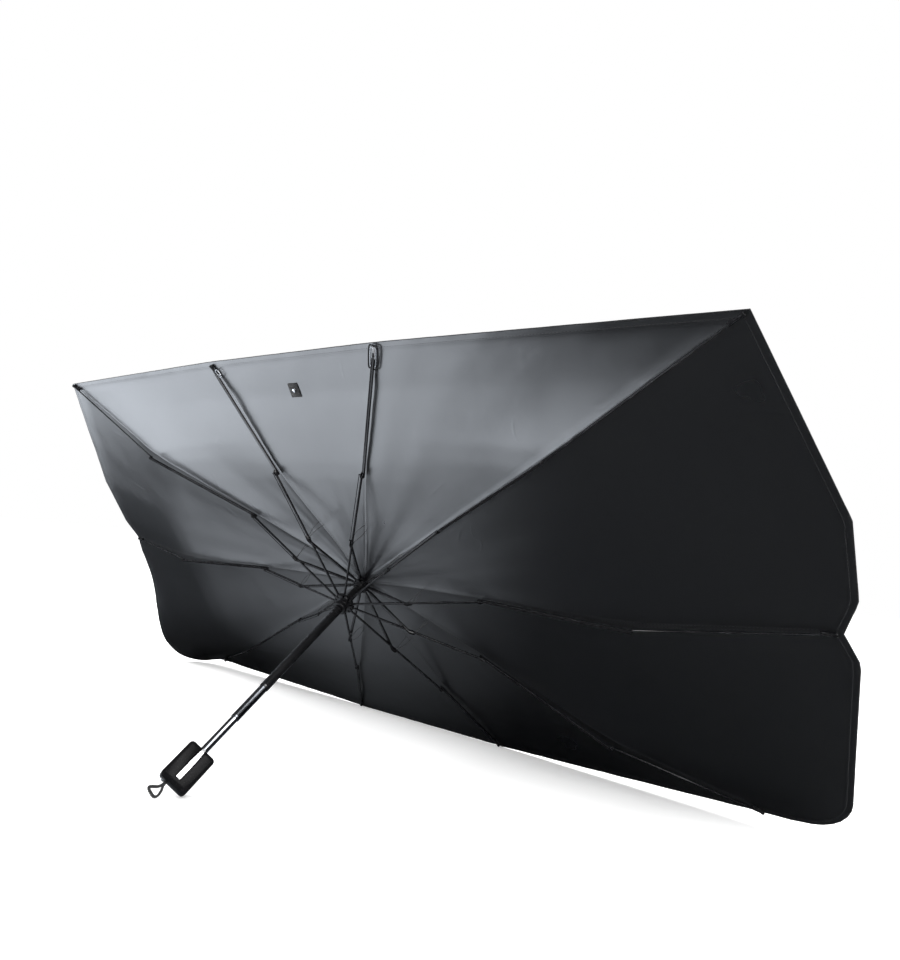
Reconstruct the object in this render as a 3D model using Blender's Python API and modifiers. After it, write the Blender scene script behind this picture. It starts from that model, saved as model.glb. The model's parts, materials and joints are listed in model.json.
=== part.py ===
# Umbrella-type car sunshade, open, resting on its lower rim and on the end of its handle.
#
# The pieces are modelled in the shaft's own frame and then tilted together:
# +X runs across the shade to the right, +Y up the shade, and +Z from the crown to the handle.
# An arm's piece is modelled in its arm's plane: +X away from the shaft, +Z towards the handle.
import math

import bmesh
import bpy
from mathutils import Matrix, Vector

MM = 0.001
GAP = 0.3 * MM            # clearance between pieces that touch
REACH = 20 * MM           # how far a cutter runs past what it cuts

# Shaft, in distances from the crown's datum along the shaft
OUTER_TUBE_R = 7.0 * MM
TUBE_WALL = 0.55 * MM
OUTER_TUBE_TOP = 2.0 * MM
OUTER_TUBE_END = 243.0 * MM
MIDDLE_TUBE_SHOWN = 56.0 * MM
INNER_TUBE_SHOWN = 55.0 * MM
TUBE_OVERLAP = 22.0 * MM  # what stays inside the wider tube at full length

# Crown and cap
CROWN_R = 9.9 * MM
CROWN_RIM_R = 13.6 * MM
CROWN_TOP = 0.8 * MM
CROWN_END = 18.0 * MM
CROWN_RIM_ABOVE = 2.0 * MM   # rim's cover over the ribs, on the cloth's side
CROWN_RIM_BELOW = 1.0 * MM
CROWN_HINGE_R = 12.5 * MM
CROWN_HINGE_Z = 10.0 * MM
CAP_R = 15.0 * MM
CAP_HEIGHT = 6.0 * MM
CAP_FACE_R = 8.5 * MM
CAP_POST_R = 5.0 * MM
CAP_POST_SEAT = 1.0 * MM  # how far the post enters the crown
TURNED_STEPS = 20

# Runner
RUNNER_R = 9.6 * MM
RUNNER_COLLAR_R = 18.0 * MM
RUNNER_HINGE_Z = 55.0 * MM
RUNNER_COLLAR_DEPTH = 7.0 * MM
RUNNER_TOP = 5.5 * MM
RUNNER_LENGTH = 20.5 * MM
RUNNER_RING_R = 12.2 * MM
RUNNER_RING_DEPTH = 4.0 * MM
RUNNER_COLLAR_STEP = 1.0 * MM

# Ribs: a wide rib is a channel that straddles a narrow one on a rivet
RIB_WIDTH = 4.0 * MM
RIB_HEIGHT = 3.2 * MM
RIB_WALL = 0.5 * MM
BAR_WIDTH = 2.4 * MM
BAR_HEIGHT = 3.0 * MM
BAR_CHANNEL = 1.3 * MM
EAR_R = 1.8 * MM
PIVOT_OFFSET = 3.8 * MM   # a rivet's distance from the rib's middle line
END_OFFSET = 3.4 * MM
RIVET_R = 0.5 * MM
RIVET_HEAD = 0.45 * MM
RIVET_SIDES = 6
TOP_RIB_LENGTH = 108.0 * MM
TOP_RIB_RISE = math.radians(15.0)
FORK_LENGTH = 18.0 * MM
TONGUE_LENGTH = 8.0 * MM
STRETCHER_REACH = 115.0 * MM
MIDDLE_RIB_LENGTH = 232.0 * MM
ELBOW_Z = 25.0 * MM       # depth of the end rib's pivot in the open shade
END_ROD_R = 1.15 * MM
EYE_R = 1.2 * MM
TIP_R = 2.0 * MM
TIP_LENGTH = 13.0 * MM
TIP_Z = -13.0 * MM
TIP_INSET = 8.0 * MM       # how far a rib's tip ends inside the rim
LINK_WIRE_R = 0.7 * MM
LINK_EYE_R = 1.4 * MM
LINK_EYE_DEPTH = 1.1 * MM
LINK_PIN_AHEAD = 5.0 * MM

# Canopy
CLOTH = 1.0 * MM
CLOTH_TOP_Z = -1.0 * MM
CLOTH_HOLE_R = 5.6 * MM
CLOTH_RIM_Z = -16.8 * MM
CORNER_CURLS = {2: -14.0 * MM, 6: 50.0 * MM}   # by gore: how far a slack lower corner curls
CURL_LEAN = 1.4           # moves the curl towards the lower side of its gore
CURL_RISE = 4             # keeps the curl near the rim
LEFT_CORNER_GORE = 6
TOP_GORE = 9
BILLOW = 5.0 * MM
ROWS = 8
ROW_CROWDING = 1.15       # above 1, the rows lie closer at the crown
GORE_COLUMNS = 8
SIDE_TIP = (0.686, 0.016)
UPPER_CORNER = (0.608, 0.389)
UPPER_TIP = (0.170, 0.400)
LOWER_TIP = (0.166, -0.362)
LOWER_CORNER_TIP = (0.600, -0.336)
SIDE_BULGE = (0.691, 0.165)
SIDE_SHOULDER = (0.699, 0.062)
NOTCH_SHOULDER = (0.703, -0.026)
LOWER_CORNER = (0.700, -0.338)
LOWER_CORNER_R = 0.050
SHOULDER_R = 0.030

# Handle and strap
HANDLE_WIDTH = 41.0 * MM
HANDLE_DEPTH = 23.0 * MM
HANDLE_LENGTH = 52.0 * MM
HANDLE_ROUND = 5.0 * MM
HANDLE_TURN = math.radians(-50.0)
HANDLE_SOCKET = 16.0 * MM
INLAY_WIDTH = 7.6 * MM
INLAY_LENGTH = 43.0 * MM
INLAY_DEPTH = 1.6 * MM
INLAY_PROUD = 0.7 * MM
STUD_R = 3.4 * MM
STUD_HEIGHT = 2.6 * MM
STRAP_WIDTH = 6.0 * MM
STRAP_THICKNESS = 1.6 * MM
STRAP_LENGTH = 21.0 * MM
STRAP_LOOP = 15.0 * MM

# Closing tab
TAB_WIDTH = 20.0 * MM
TAB_LENGTH = 22.0 * MM
TAB_THICKNESS = 1.2 * MM
TAB_CENTRE = (-0.007, 0.343)
SNAP_R = 3.6 * MM
SNAP_HEIGHT = 1.6 * MM

BLACK_STEEL = ((0.012, 0.012, 0.014), 0.30, 0.75)
BLACK_TUBE = ((0.010, 0.010, 0.011), 0.28, 0.40)
DARK_CHROME = ((0.20, 0.21, 0.23), 0.22, 1.0)
CHROME = ((0.62, 0.63, 0.65), 0.12, 1.0)
BLACK_PLASTIC = ((0.012, 0.012, 0.013), 0.38, 0.0)
CLOTH_BLACK = ((0.045, 0.048, 0.056), 0.45, 0.0)
STRAP_BLACK = ((0.010, 0.010, 0.011), 0.85, 0.0)

# Each arm's tip on the rim, and whether its outer part folds in two
ARMS = {
    "right": (SIDE_TIP[0], SIDE_TIP[1], True),
    "top_right": (UPPER_CORNER[0], UPPER_CORNER[1], True),
    "top_mid_right": (UPPER_TIP[0], UPPER_TIP[1], False),
    "top_mid_left": (-UPPER_TIP[0], UPPER_TIP[1], False),
    "top_left": (-UPPER_CORNER[0], UPPER_CORNER[1], True),
    "left": (-SIDE_TIP[0], SIDE_TIP[1], True),
    "bottom_left": (-LOWER_CORNER_TIP[0], LOWER_CORNER_TIP[1], True),
    "bottom_mid_left": (-LOWER_TIP[0], LOWER_TIP[1], False),
    "bottom_mid_right": (LOWER_TIP[0], LOWER_TIP[1], False),
    "bottom_right": (LOWER_CORNER_TIP[0], LOWER_CORNER_TIP[1], True),
}

# Sizes that follow from the ones above
OUTER_TUBE_BORE = OUTER_TUBE_R - TUBE_WALL
MIDDLE_TUBE_R = OUTER_TUBE_BORE - GAP
INNER_TUBE_R = MIDDLE_TUBE_R - TUBE_WALL - GAP
MIDDLE_TUBE_END = OUTER_TUBE_END + MIDDLE_TUBE_SHOWN
HANDLE_TOP = MIDDLE_TUBE_END + INNER_TUBE_SHOWN
SLOT_WIDTH = BAR_WIDTH + 2 * GAP
RIVET_HOLE_R = RIVET_R + GAP
RUNNER_HINGE_R = CROWN_HINGE_R + PIVOT_OFFSET
RUNNER_NOTCH_R = RUNNER_HINGE_R - BAR_HEIGHT / 2 - 2 * GAP - 1.5 * MM
CROWN_NOTCH_R = CROWN_HINGE_R - RIB_HEIGHT / 2 - GAP
LINK_WIRE_SIDE = RIB_WIDTH / 2 + RIVET_HEAD + GAP + LINK_WIRE_R


def arm_plane_pivots():
    """Rivet places and rib slopes of an open arm, in its own plane."""
    crown = Vector((CROWN_HINGE_R, CROWN_HINGE_Z))
    along = Vector((math.cos(TOP_RIB_RISE), math.sin(TOP_RIB_RISE)))
    below = Vector((along.y, -along.x))
    knee = crown + along * TOP_RIB_LENGTH + below * PIVOT_OFFSET
    runner = Vector((RUNNER_HINGE_R, RUNNER_HINGE_Z))
    bar = knee - runner
    bar_slope = math.atan2(bar.y, bar.x)
    elbow = knee + bar.normalized() * STRETCHER_REACH
    return knee, bar.length, bar_slope, elbow


KNEE, STRETCHER_INNER, STRETCHER_SLOPE, ELBOW = arm_plane_pivots()
FOLD_TRAVEL = CROWN_HINGE_Z + TOP_RIB_LENGTH + STRETCHER_INNER - RUNNER_HINGE_Z


def slope_to(start, offset, length, depth):
    """Slope of a rib whose far rivet, offset below its line, ends at a depth."""
    reach = math.hypot(length, offset)
    return math.asin((depth - start.y) / reach) + math.atan2(offset, length)


MIDDLE_DROP = PIVOT_OFFSET + END_OFFSET
MIDDLE_SLOPE = slope_to(ELBOW, MIDDLE_DROP, MIDDLE_RIB_LENGTH, ELBOW_Z)


def end_rivet():
    """Place of the end rib's rivet in the arm's plane."""
    along = Vector((math.cos(MIDDLE_SLOPE), math.sin(MIDDLE_SLOPE)))
    below = Vector((along.y, -along.x))
    return ELBOW + along * MIDDLE_RIB_LENGTH + below * MIDDLE_DROP


END_RIVET = end_rivet()


def end_rib_sizes(radius):
    """Length and slope of an end rib that reaches a tip at this radius."""
    run = Vector((radius, TIP_Z)) - END_RIVET
    return run.length, math.atan2(run.y, run.x)


def outer_rib_sizes(radius):
    """Length and slope of a one-piece outer rib that reaches a tip at this radius."""
    run = Vector((radius, TIP_Z)) - ELBOW
    length = math.sqrt(run.length_squared - PIVOT_OFFSET ** 2)
    return length, math.atan2(run.y, run.x) + math.atan2(PIVOT_OFFSET, length)


def clear_scene():
    for obj in list(bpy.data.objects):
        bpy.data.objects.remove(obj, do_unlink=True)


def make_collection(name):
    collection = bpy.data.collections.new(name)
    bpy.context.scene.collection.children.link(collection)
    return collection


def make_material(name, look):
    color, roughness, metallic = look
    material = bpy.data.materials.new(name)
    material.use_nodes = True
    shader = material.node_tree.nodes["Principled BSDF"]
    shader.inputs["Base Color"].default_value = (*color, 1.0)
    shader.inputs["Roughness"].default_value = roughness
    shader.inputs["Metallic"].default_value = metallic
    return material


def add_object(name, data, look, parent=None, location=(0, 0, 0), rotation=(0, 0, 0)):
    """One sub-part as its own object with its own material."""
    obj = bpy.data.objects.new(name, data)
    PARTS.objects.link(obj)
    obj.location = location
    obj.rotation_euler = rotation
    obj.parent = parent
    obj.data.materials.append(None)
    obj.material_slots[0].link = "OBJECT"
    obj.material_slots[0].material = make_material(name, look)
    return obj


def add_empty(name, parent=None, location=(0, 0, 0), rotation=(0, 0, 0)):
    empty = bpy.data.objects.new(name, None)
    PARTS.objects.link(empty)
    empty.location = location
    empty.rotation_euler = rotation
    empty.parent = parent
    return empty


def mesh_from(bm, name, smooth_deg=40):
    """Close a bmesh into a mesh with smooth round faces and sharp edges."""
    bmesh.ops.recalc_face_normals(bm, faces=bm.faces)
    mesh = bpy.data.meshes.new(name)
    bm.to_mesh(mesh)
    bm.free()
    mesh.shade_smooth()
    mesh.set_sharp_from_angle(angle=math.radians(smooth_deg))
    return mesh


def plate(outline, width, name):
    """A flat outline in the arm's plane, thickened across it."""
    curve = bpy.data.curves.new(name, "CURVE")
    curve.dimensions = "2D"
    curve.fill_mode = "BOTH"
    curve.extrude = width / 2
    spline = curve.splines.new("POLY")
    spline.points.add(len(outline) - 1)
    for point, (x, z) in zip(spline.points, outline):
        point.co = (x, z, 0, 1)
    spline.use_cyclic_u = True
    holder = bpy.data.objects.new(name, curve)
    bpy.context.scene.collection.objects.link(holder)
    evaluated = holder.evaluated_get(bpy.context.evaluated_depsgraph_get())
    flat = bpy.data.meshes.new_from_object(evaluated)
    bpy.data.objects.remove(holder, do_unlink=True)
    bm = bmesh.new()
    bm.from_mesh(flat)
    bmesh.ops.remove_doubles(bm, verts=bm.verts, dist=0.00001)
    bmesh.ops.transform(bm, matrix=Matrix.Rotation(math.pi / 2, 4, "X"), verts=bm.verts)
    return mesh_from(bm, name)


def arc(centre, radius, start_deg, end_deg, steps):
    """Points of an arc in the arm's plane, both ends included."""
    points = []
    for step in range(steps + 1):
        angle = math.radians(start_deg + (end_deg - start_deg) * step / steps)
        points.append((centre[0] + radius * math.cos(angle), centre[1] + radius * math.sin(angle)))
    return points


def box_mesh(low, high, name="box"):
    bm = bmesh.new()
    size = Vector(high) - Vector(low)
    middle = (Vector(high) + Vector(low)) / 2
    matrix = Matrix.Translation(middle) @ Matrix.Diagonal((*size, 1.0))
    bmesh.ops.create_cube(bm, size=1.0, matrix=matrix)
    return mesh_from(bm, name)


def rod_mesh(radius, length, matrix, sides, name="rod"):
    bm = bmesh.new()
    bmesh.ops.create_cone(
        bm, cap_ends=True, segments=sides, radius1=radius, radius2=radius, depth=length, matrix=matrix)
    return mesh_from(bm, name)


def across(x, z, radius, length, name="pin"):
    """A round rod across the arm's plane at (x, z)."""
    turn = Matrix.Rotation(math.pi / 2, 4, "X")
    return rod_mesh(radius, length, Matrix.Translation((x, 0, z)) @ turn, RIVET_SIDES, name)


def combine(base, tools, operation):
    """Join or cut one mesh with others and return the result as a mesh."""
    holders = []
    target = bpy.data.objects.new("target", base)
    bpy.context.scene.collection.objects.link(target)
    for number, tool in enumerate(tools):
        holder = bpy.data.objects.new("tool", tool)
        bpy.context.scene.collection.objects.link(holder)
        holders.append(holder)
        modifier = target.modifiers.new("step_" + str(number), "BOOLEAN")
        modifier.operation = operation
        modifier.solver = "EXACT"
        modifier.object = holder
    evaluated = target.evaluated_get(bpy.context.evaluated_depsgraph_get())
    result = bpy.data.meshes.new_from_object(evaluated)
    result.name = base.name
    for holder in holders + [target]:
        bpy.data.objects.remove(holder, do_unlink=True)
    result.materials.clear()
    result.shade_smooth()
    result.set_sharp_from_angle(angle=math.radians(40))
    return result


def turned(profile, name, steps=32, parent=None, location=(0, 0, 0), look=BLACK_PLASTIC):
    """A turned piece: a profile of (radius, height) from top to bottom, on a Screw modifier."""
    bm = bmesh.new()
    verts = [bm.verts.new((radius, 0, height)) for radius, height in profile]
    for first, second in zip(verts, verts[1:]):
        bm.edges.new((first, second))
    if profile[0][0] > 0:
        bm.edges.new((verts[-1], verts[0]))
    mesh = bpy.data.meshes.new(name)
    bm.to_mesh(mesh)
    bm.free()
    obj = add_object(name, mesh, look, parent, location)
    screw = obj.modifiers.new("turn", "SCREW")
    screw.axis = "Z"
    screw.steps = steps
    screw.render_steps = steps
    screw.use_merge_vertices = True
    screw.merge_threshold = 0.00001
    screw.use_smooth_shade = True
    return obj


def applied(obj):
    """Mesh of an object with its modifiers applied; the object is removed."""
    evaluated = obj.evaluated_get(bpy.context.evaluated_depsgraph_get())
    mesh = bpy.data.meshes.new_from_object(evaluated)
    bpy.data.objects.remove(obj, do_unlink=True)
    bm = bmesh.new()
    bm.from_mesh(mesh)
    bmesh.ops.remove_doubles(bm, verts=bm.verts, dist=0.00001)
    mesh = mesh_from(bm, mesh.name)
    mesh.materials.clear()
    return mesh


def top_rib_mesh():
    """Channel from the crown's rivet to the knee, ending in a fork with dropped ears."""
    half = RIB_HEIGHT / 2
    knee = (TOP_RIB_LENGTH, -PIVOT_OFFSET)
    toe = TOP_RIB_LENGTH + LINK_PIN_AHEAD
    outline = arc((0, 0), half, 90, 270, 3)
    outline += [(TOP_RIB_LENGTH - 2.2 * EAR_R, -half)]
    outline += arc(knee, EAR_R, 200, 270, 2)
    outline += arc((toe, -PIVOT_OFFSET), EAR_R, -90, 50, 3)
    outline += [(TOP_RIB_LENGTH, half)]
    rib = plate(outline, RIB_WIDTH, "top_rib")
    slot = SLOT_WIDTH / 2
    fork_start = TOP_RIB_LENGTH - FORK_LENGTH
    channel = box_mesh((TONGUE_LENGTH + RIB_HEIGHT, -slot, -REACH), (fork_start - RIB_HEIGHT, slot, half - RIB_WALL))
    fork = box_mesh((fork_start, -slot, -REACH), (toe + REACH, slot, REACH))
    sides = []
    for side in (-1, 1):
        edges = sorted((side * BAR_WIDTH / 2, side * REACH))
        sides.append(box_mesh((-REACH, edges[0], -REACH), (TONGUE_LENGTH, edges[1], REACH)))
    hole = across(0, 0, RIVET_HOLE_R, REACH)
    rib = combine(rib, [channel, fork, hole] + sides, "DIFFERENCE")
    rivet = across(*knee, RIVET_R, RIB_WIDTH + 2 * RIVET_HEAD)
    stub_start = SLOT_WIDTH / 2 + RIB_WALL / 2
    stub_end = LINK_WIRE_SIDE + LINK_EYE_DEPTH / 2 + RIVET_HEAD
    stub = across(toe, -PIVOT_OFFSET, RIVET_R, stub_end - stub_start)
    stub.transform(Matrix.Translation((0, (stub_start + stub_end) / 2, 0)))
    return combine(rib, [rivet, stub], "UNION")


def stretcher_mesh():
    """Narrow channel from the runner through the knee to the elbow; its origin is at the knee."""
    half = BAR_HEIGHT / 2
    outline = arc((-STRETCHER_INNER, 0), half, 90, 270, 3) + arc((STRETCHER_REACH, 0), half, -90, 90, 3)
    bar = plate(outline, BAR_WIDTH, "stretcher")
    slot = BAR_CHANNEL / 2
    web = half - RIB_WALL
    ends = BAR_HEIGHT
    inner = box_mesh((-STRETCHER_INNER + ends, -slot, -REACH), (-ends, slot, web))
    outer = box_mesh((ends, -slot, -REACH), (STRETCHER_REACH - ends, slot, web))
    holes = [across(x, 0, RIVET_HOLE_R, REACH) for x in (0, STRETCHER_REACH)]
    return combine(bar, [inner, outer] + holes, "DIFFERENCE")


def heel_outline():
    """Outline of a wide rib's start: a raised ear for the elbow and a heel for the link wire."""
    half = RIB_HEIGHT / 2
    turn = TOP_RIB_RISE - MIDDLE_SLOPE
    heel_x = LINK_PIN_AHEAD * math.cos(turn)
    heel_z = LINK_PIN_AHEAD * math.sin(turn) + PIVOT_OFFSET
    start = [(heel_x + 2.6 * EAR_R, half), (heel_x + 0.8 * EAR_R, heel_z)]
    heel = arc((heel_x, heel_z), 0.8 * EAR_R, 45, 135, 2)
    ear = arc((0, PIVOT_OFFSET), EAR_R, 120, 200, 2)
    return start + heel + ear + [(-EAR_R, -half)], (heel_x, heel_z)


def wide_rib_cuts(channel_end, slot_end):
    """Cutters of a wide rib: its channel, and the slot between its raised ears."""
    half = RIB_HEIGHT / 2
    slot = SLOT_WIDTH / 2
    channel = box_mesh((4 * EAR_R, -slot, -REACH), (channel_end, slot, half - RIB_WALL))
    ears = box_mesh((-REACH, -slot, half), (slot_end, slot, REACH))
    return [channel, ears]


def middle_rib_mesh():
    """Wide channel between the elbow and the end rivet; its origin is at the elbow's rivet."""
    half = RIB_HEIGHT / 2
    start, heel = heel_outline()
    drop = (MIDDLE_RIB_LENGTH, -END_OFFSET)
    end = [(MIDDLE_RIB_LENGTH - 2 * EAR_R, -half)]
    end += arc(drop, EAR_R, 200, 360, 3)
    end += [(MIDDLE_RIB_LENGTH + EAR_R, half)]
    rib = plate(start + end, RIB_WIDTH, "middle_rib")
    slot = SLOT_WIDTH / 2
    cuts = wide_rib_cuts(MIDDLE_RIB_LENGTH - 3 * EAR_R, heel[0] + REACH)
    cuts.append(box_mesh((MIDDLE_RIB_LENGTH - 2.5 * EAR_R, -slot, -REACH), (MIDDLE_RIB_LENGTH + REACH, slot, -half)))
    rib = combine(rib, cuts, "DIFFERENCE")
    rivets = [across(x, z, RIVET_R, RIB_WIDTH + 2 * RIVET_HEAD) for x, z in ((0, PIVOT_OFFSET), drop)]
    rib = combine(rib, rivets, "UNION")
    rib.transform(Matrix.Translation((0, 0, -PIVOT_OFFSET)))
    return rib


def tip_profile(start, length, radius, sides=6):
    """Turned rod along +X with a moulded tip at its end, as a closed mesh."""
    rings = [(start, radius), (length - TIP_LENGTH, radius), (length - TIP_LENGTH, TIP_R)]
    rings += [(length - 0.25 * TIP_LENGTH, TIP_R), (length - 0.05 * TIP_LENGTH, 0.6 * TIP_R)]
    rings += [(length + 0.05 * TIP_LENGTH, 0.9 * TIP_R), (length + 0.15 * TIP_LENGTH, 0.6 * TIP_R)]
    bm = bmesh.new()
    previous = None
    for x, ring_r in rings:
        ring = []
        for side in range(sides):
            angle = 2 * math.pi * side / sides
            ring.append(bm.verts.new((x, ring_r * math.cos(angle), ring_r * math.sin(angle))))
        if previous:
            for side in range(sides):
                after = (side + 1) % sides
                bm.faces.new((previous[side], previous[after], ring[after], ring[side]))
        else:
            bm.faces.new(ring)
        previous = ring
    bm.faces.new(previous)
    return mesh_from(bm, "tip")


def outer_rib_mesh(length):
    """Wide channel from the elbow to a tip on the rim; its origin is at the elbow's rivet."""
    half = RIB_HEIGHT / 2
    start, heel = heel_outline()
    neck = length - TIP_LENGTH
    rib = plate(start + [(neck, -half), (neck, half)], RIB_WIDTH, "outer_rib")
    rib = combine(rib, wide_rib_cuts(neck - 2 * EAR_R, heel[0] + REACH), "DIFFERENCE")
    rivet = across(0, PIVOT_OFFSET, RIVET_R, RIB_WIDTH + 2 * RIVET_HEAD)
    rib = combine(rib, [rivet, tip_profile(neck - EAR_R, length, END_ROD_R)], "UNION")
    rib.transform(Matrix.Translation((0, 0, -PIVOT_OFFSET)))
    return rib


def end_rib_mesh(length):
    """Round rod from its eye on the end rivet to a tip on the rim."""
    rod = tip_profile(0, length, END_ROD_R)
    bm = bmesh.new()
    bmesh.ops.create_cone(
        bm, cap_ends=True, segments=8, radius1=EAR_R - GAP, radius2=EAR_R - GAP, depth=2 * EYE_R,
        matrix=Matrix.Rotation(math.pi / 2, 4, "X"))
    eye = mesh_from(bm, "eye")
    rod = combine(eye, [rod], "UNION")
    return combine(rod, [across(0, 0, RIVET_HOLE_R, REACH)], "DIFFERENCE")


def link_wire_mesh():
    """Thin wire from the top rib's toe to the outer rib's heel, beside the stretcher."""
    bm = bmesh.new()
    for x in (0, STRETCHER_REACH):
        bmesh.ops.create_cone(
            bm, cap_ends=True, segments=6, radius1=LINK_EYE_R, radius2=LINK_EYE_R, depth=LINK_EYE_DEPTH,
            matrix=Matrix.Translation((x, 0, 0)) @ Matrix.Rotation(math.pi / 2, 4, "X"))
    eyes = mesh_from(bm, "wire_eyes")
    turn = Matrix.Translation((STRETCHER_REACH / 2, 0, 0)) @ Matrix.Rotation(math.pi / 2, 4, "Y")
    wire = rod_mesh(LINK_WIRE_R, STRETCHER_REACH, turn, 6, "link_wire")
    wire = combine(wire, [eyes], "UNION")
    return combine(wire, [across(x, 0, RIVET_HOLE_R, REACH) for x in (0, STRETCHER_REACH)], "DIFFERENCE")


def build_arms(frame):
    """All ten arms, each a chain of ribs parented rivet by rivet."""
    top_rib = top_rib_mesh()
    stretcher = stretcher_mesh()
    middle_rib = middle_rib_mesh()
    link_wire = link_wire_mesh()
    end_ribs = {}
    outer_ribs = {}
    for arm, (tip_x, tip_y, folds) in ARMS.items():
        radius = math.hypot(tip_x, tip_y) - TIP_INSET
        plane = add_empty(arm + "_plane", frame, rotation=(0, 0, math.atan2(tip_y, tip_x)))
        top = add_object(
            arm + "_top_rib", top_rib.copy(), BLACK_STEEL, plane,
            (CROWN_HINGE_R, 0, CROWN_HINGE_Z), (0, -TOP_RIB_RISE, 0))
        bend = STRETCHER_SLOPE - TOP_RIB_RISE
        bar = add_object(
            arm + "_stretcher", stretcher.copy(), BLACK_STEEL, top,
            (TOP_RIB_LENGTH, 0, -PIVOT_OFFSET), (0, -bend, 0))
        add_object(
            arm + "_link_wire", link_wire.copy(), BLACK_STEEL, top,
            (TOP_RIB_LENGTH + LINK_PIN_AHEAD, LINK_WIRE_SIDE, -PIVOT_OFFSET), (0, -bend, 0))
        if folds:
            middle = add_object(
                arm + "_middle_rib", middle_rib.copy(), BLACK_STEEL, bar,
                (STRETCHER_REACH, 0, 0), (0, STRETCHER_SLOPE - MIDDLE_SLOPE, 0))
            length, slope = end_rib_sizes(radius)
            key = round(length / MM)
            if key not in end_ribs:
                end_ribs[key] = end_rib_mesh(length)
            add_object(
                arm + "_end_rib", end_ribs[key].copy(), BLACK_STEEL, middle,
                (MIDDLE_RIB_LENGTH, 0, -MIDDLE_DROP), (0, MIDDLE_SLOPE - slope, 0))
        else:
            length, slope = outer_rib_sizes(radius)
            key = round(length / MM)
            if key not in outer_ribs:
                outer_ribs[key] = outer_rib_mesh(length)
            add_object(
                arm + "_outer_rib", outer_ribs[key].copy(), BLACK_STEEL, bar,
                (STRETCHER_REACH, 0, 0), (0, STRETCHER_SLOPE - slope, 0))


def notch_cutters(inner_r, low, high):
    """One slot for each arm, cut outwards from a radius."""
    cutters = []
    for tip_x, tip_y, _folds in ARMS.values():
        mesh = box_mesh((inner_r, -SLOT_WIDTH / 2, low), (inner_r + REACH, SLOT_WIDTH / 2, high))
        mesh.transform(Matrix.Rotation(math.atan2(tip_y, tip_x), 4, "Z"))
        cutters.append(mesh)
    return cutters


def build_crown(frame):
    """Notched crown with a socket for the tube and a rivet across each notch."""
    rim_low = CROWN_HINGE_Z - RIB_HEIGHT / 2 - CROWN_RIM_ABOVE
    rim_high = CROWN_HINGE_Z + RIB_HEIGHT / 2 + CROWN_RIM_BELOW
    bore = OUTER_TUBE_R + GAP
    post = CAP_POST_R + GAP
    profile = [
        (bore, CROWN_END), (CROWN_R, CROWN_END), (CROWN_R, rim_high), (CROWN_RIM_R - 0.6 * MM, rim_high),
        (CROWN_RIM_R, rim_high - 0.6 * MM), (CROWN_RIM_R, rim_low + 0.6 * MM),
        (CROWN_RIM_R - 0.6 * MM, rim_low), (CROWN_R, rim_low), (CROWN_R, CROWN_TOP),
        (post, CROWN_TOP), (post, OUTER_TUBE_TOP - GAP), (bore, OUTER_TUBE_TOP - GAP)]
    crown = applied(turned(profile, "crown", TURNED_STEPS))
    crown = combine(crown, notch_cutters(CROWN_NOTCH_R, rim_low - REACH, rim_high + REACH), "DIFFERENCE")
    pins = []
    for tip_x, tip_y, _folds in ARMS.values():
        pin = across(CROWN_HINGE_R, CROWN_HINGE_Z, RIVET_R, SLOT_WIDTH + 2 * RIVET_HEAD)
        pin.transform(Matrix.Rotation(math.atan2(tip_y, tip_x), 4, "Z"))
        pins.append(pin)
    crown = combine(crown, pins, "UNION")
    add_object("crown", crown, BLACK_PLASTIC, frame)


def build_cap(frame):
    """Cap on the glass side, with a post through the cloth into the crown."""
    face = CLOTH_TOP_Z - CLOTH - 2 * GAP
    post_end = CROWN_TOP + CAP_POST_SEAT
    profile = [
        (0, post_end), (CAP_POST_R, post_end), (CAP_POST_R, face), (CAP_R, face),
        (CAP_R, face - 0.4 * CAP_HEIGHT), (0.85 * CAP_R, face - 0.75 * CAP_HEIGHT),
        (CAP_FACE_R, face - CAP_HEIGHT), (0, face - CAP_HEIGHT)]
    return turned(profile, "cap", TURNED_STEPS, frame)


def build_runner(frame):
    """Sliding runner: a sleeve, a notched collar for the stretchers and a grip ring."""
    bore = OUTER_TUBE_R + GAP
    half = RUNNER_COLLAR_DEPTH / 2
    end = RUNNER_LENGTH - RUNNER_TOP
    edge = 0.7 * MM
    ring = end - RUNNER_RING_DEPTH - edge
    profile = [
        (bore, end), (RUNNER_RING_R - edge, end), (RUNNER_RING_R, end - edge), (RUNNER_RING_R, ring + edge),
        (RUNNER_RING_R - edge, ring), (RUNNER_R, ring), (RUNNER_R, half + RUNNER_COLLAR_STEP),
        (RUNNER_NOTCH_R, half), (RUNNER_COLLAR_R - edge, half), (RUNNER_COLLAR_R, half - edge),
        (RUNNER_COLLAR_R, -half + edge), (RUNNER_COLLAR_R - edge, -half), (RUNNER_R + edge, -half),
        (RUNNER_R, -RUNNER_TOP), (bore, -RUNNER_TOP)]
    runner = applied(turned(profile, "runner", TURNED_STEPS))
    runner = combine(runner, notch_cutters(RUNNER_NOTCH_R, -REACH, REACH), "DIFFERENCE")
    add_object("runner", runner, BLACK_PLASTIC, frame, (0, 0, RUNNER_HINGE_Z))


def build_tube(name, frame, radius, top, end, look):
    """Round tube along the shaft, open at both ends."""
    bore = radius - TUBE_WALL
    profile = [(bore, end), (radius, end), (radius, top), (bore, top)]
    return turned(profile, name, 24, frame, (0, 0, 0), look)


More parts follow.
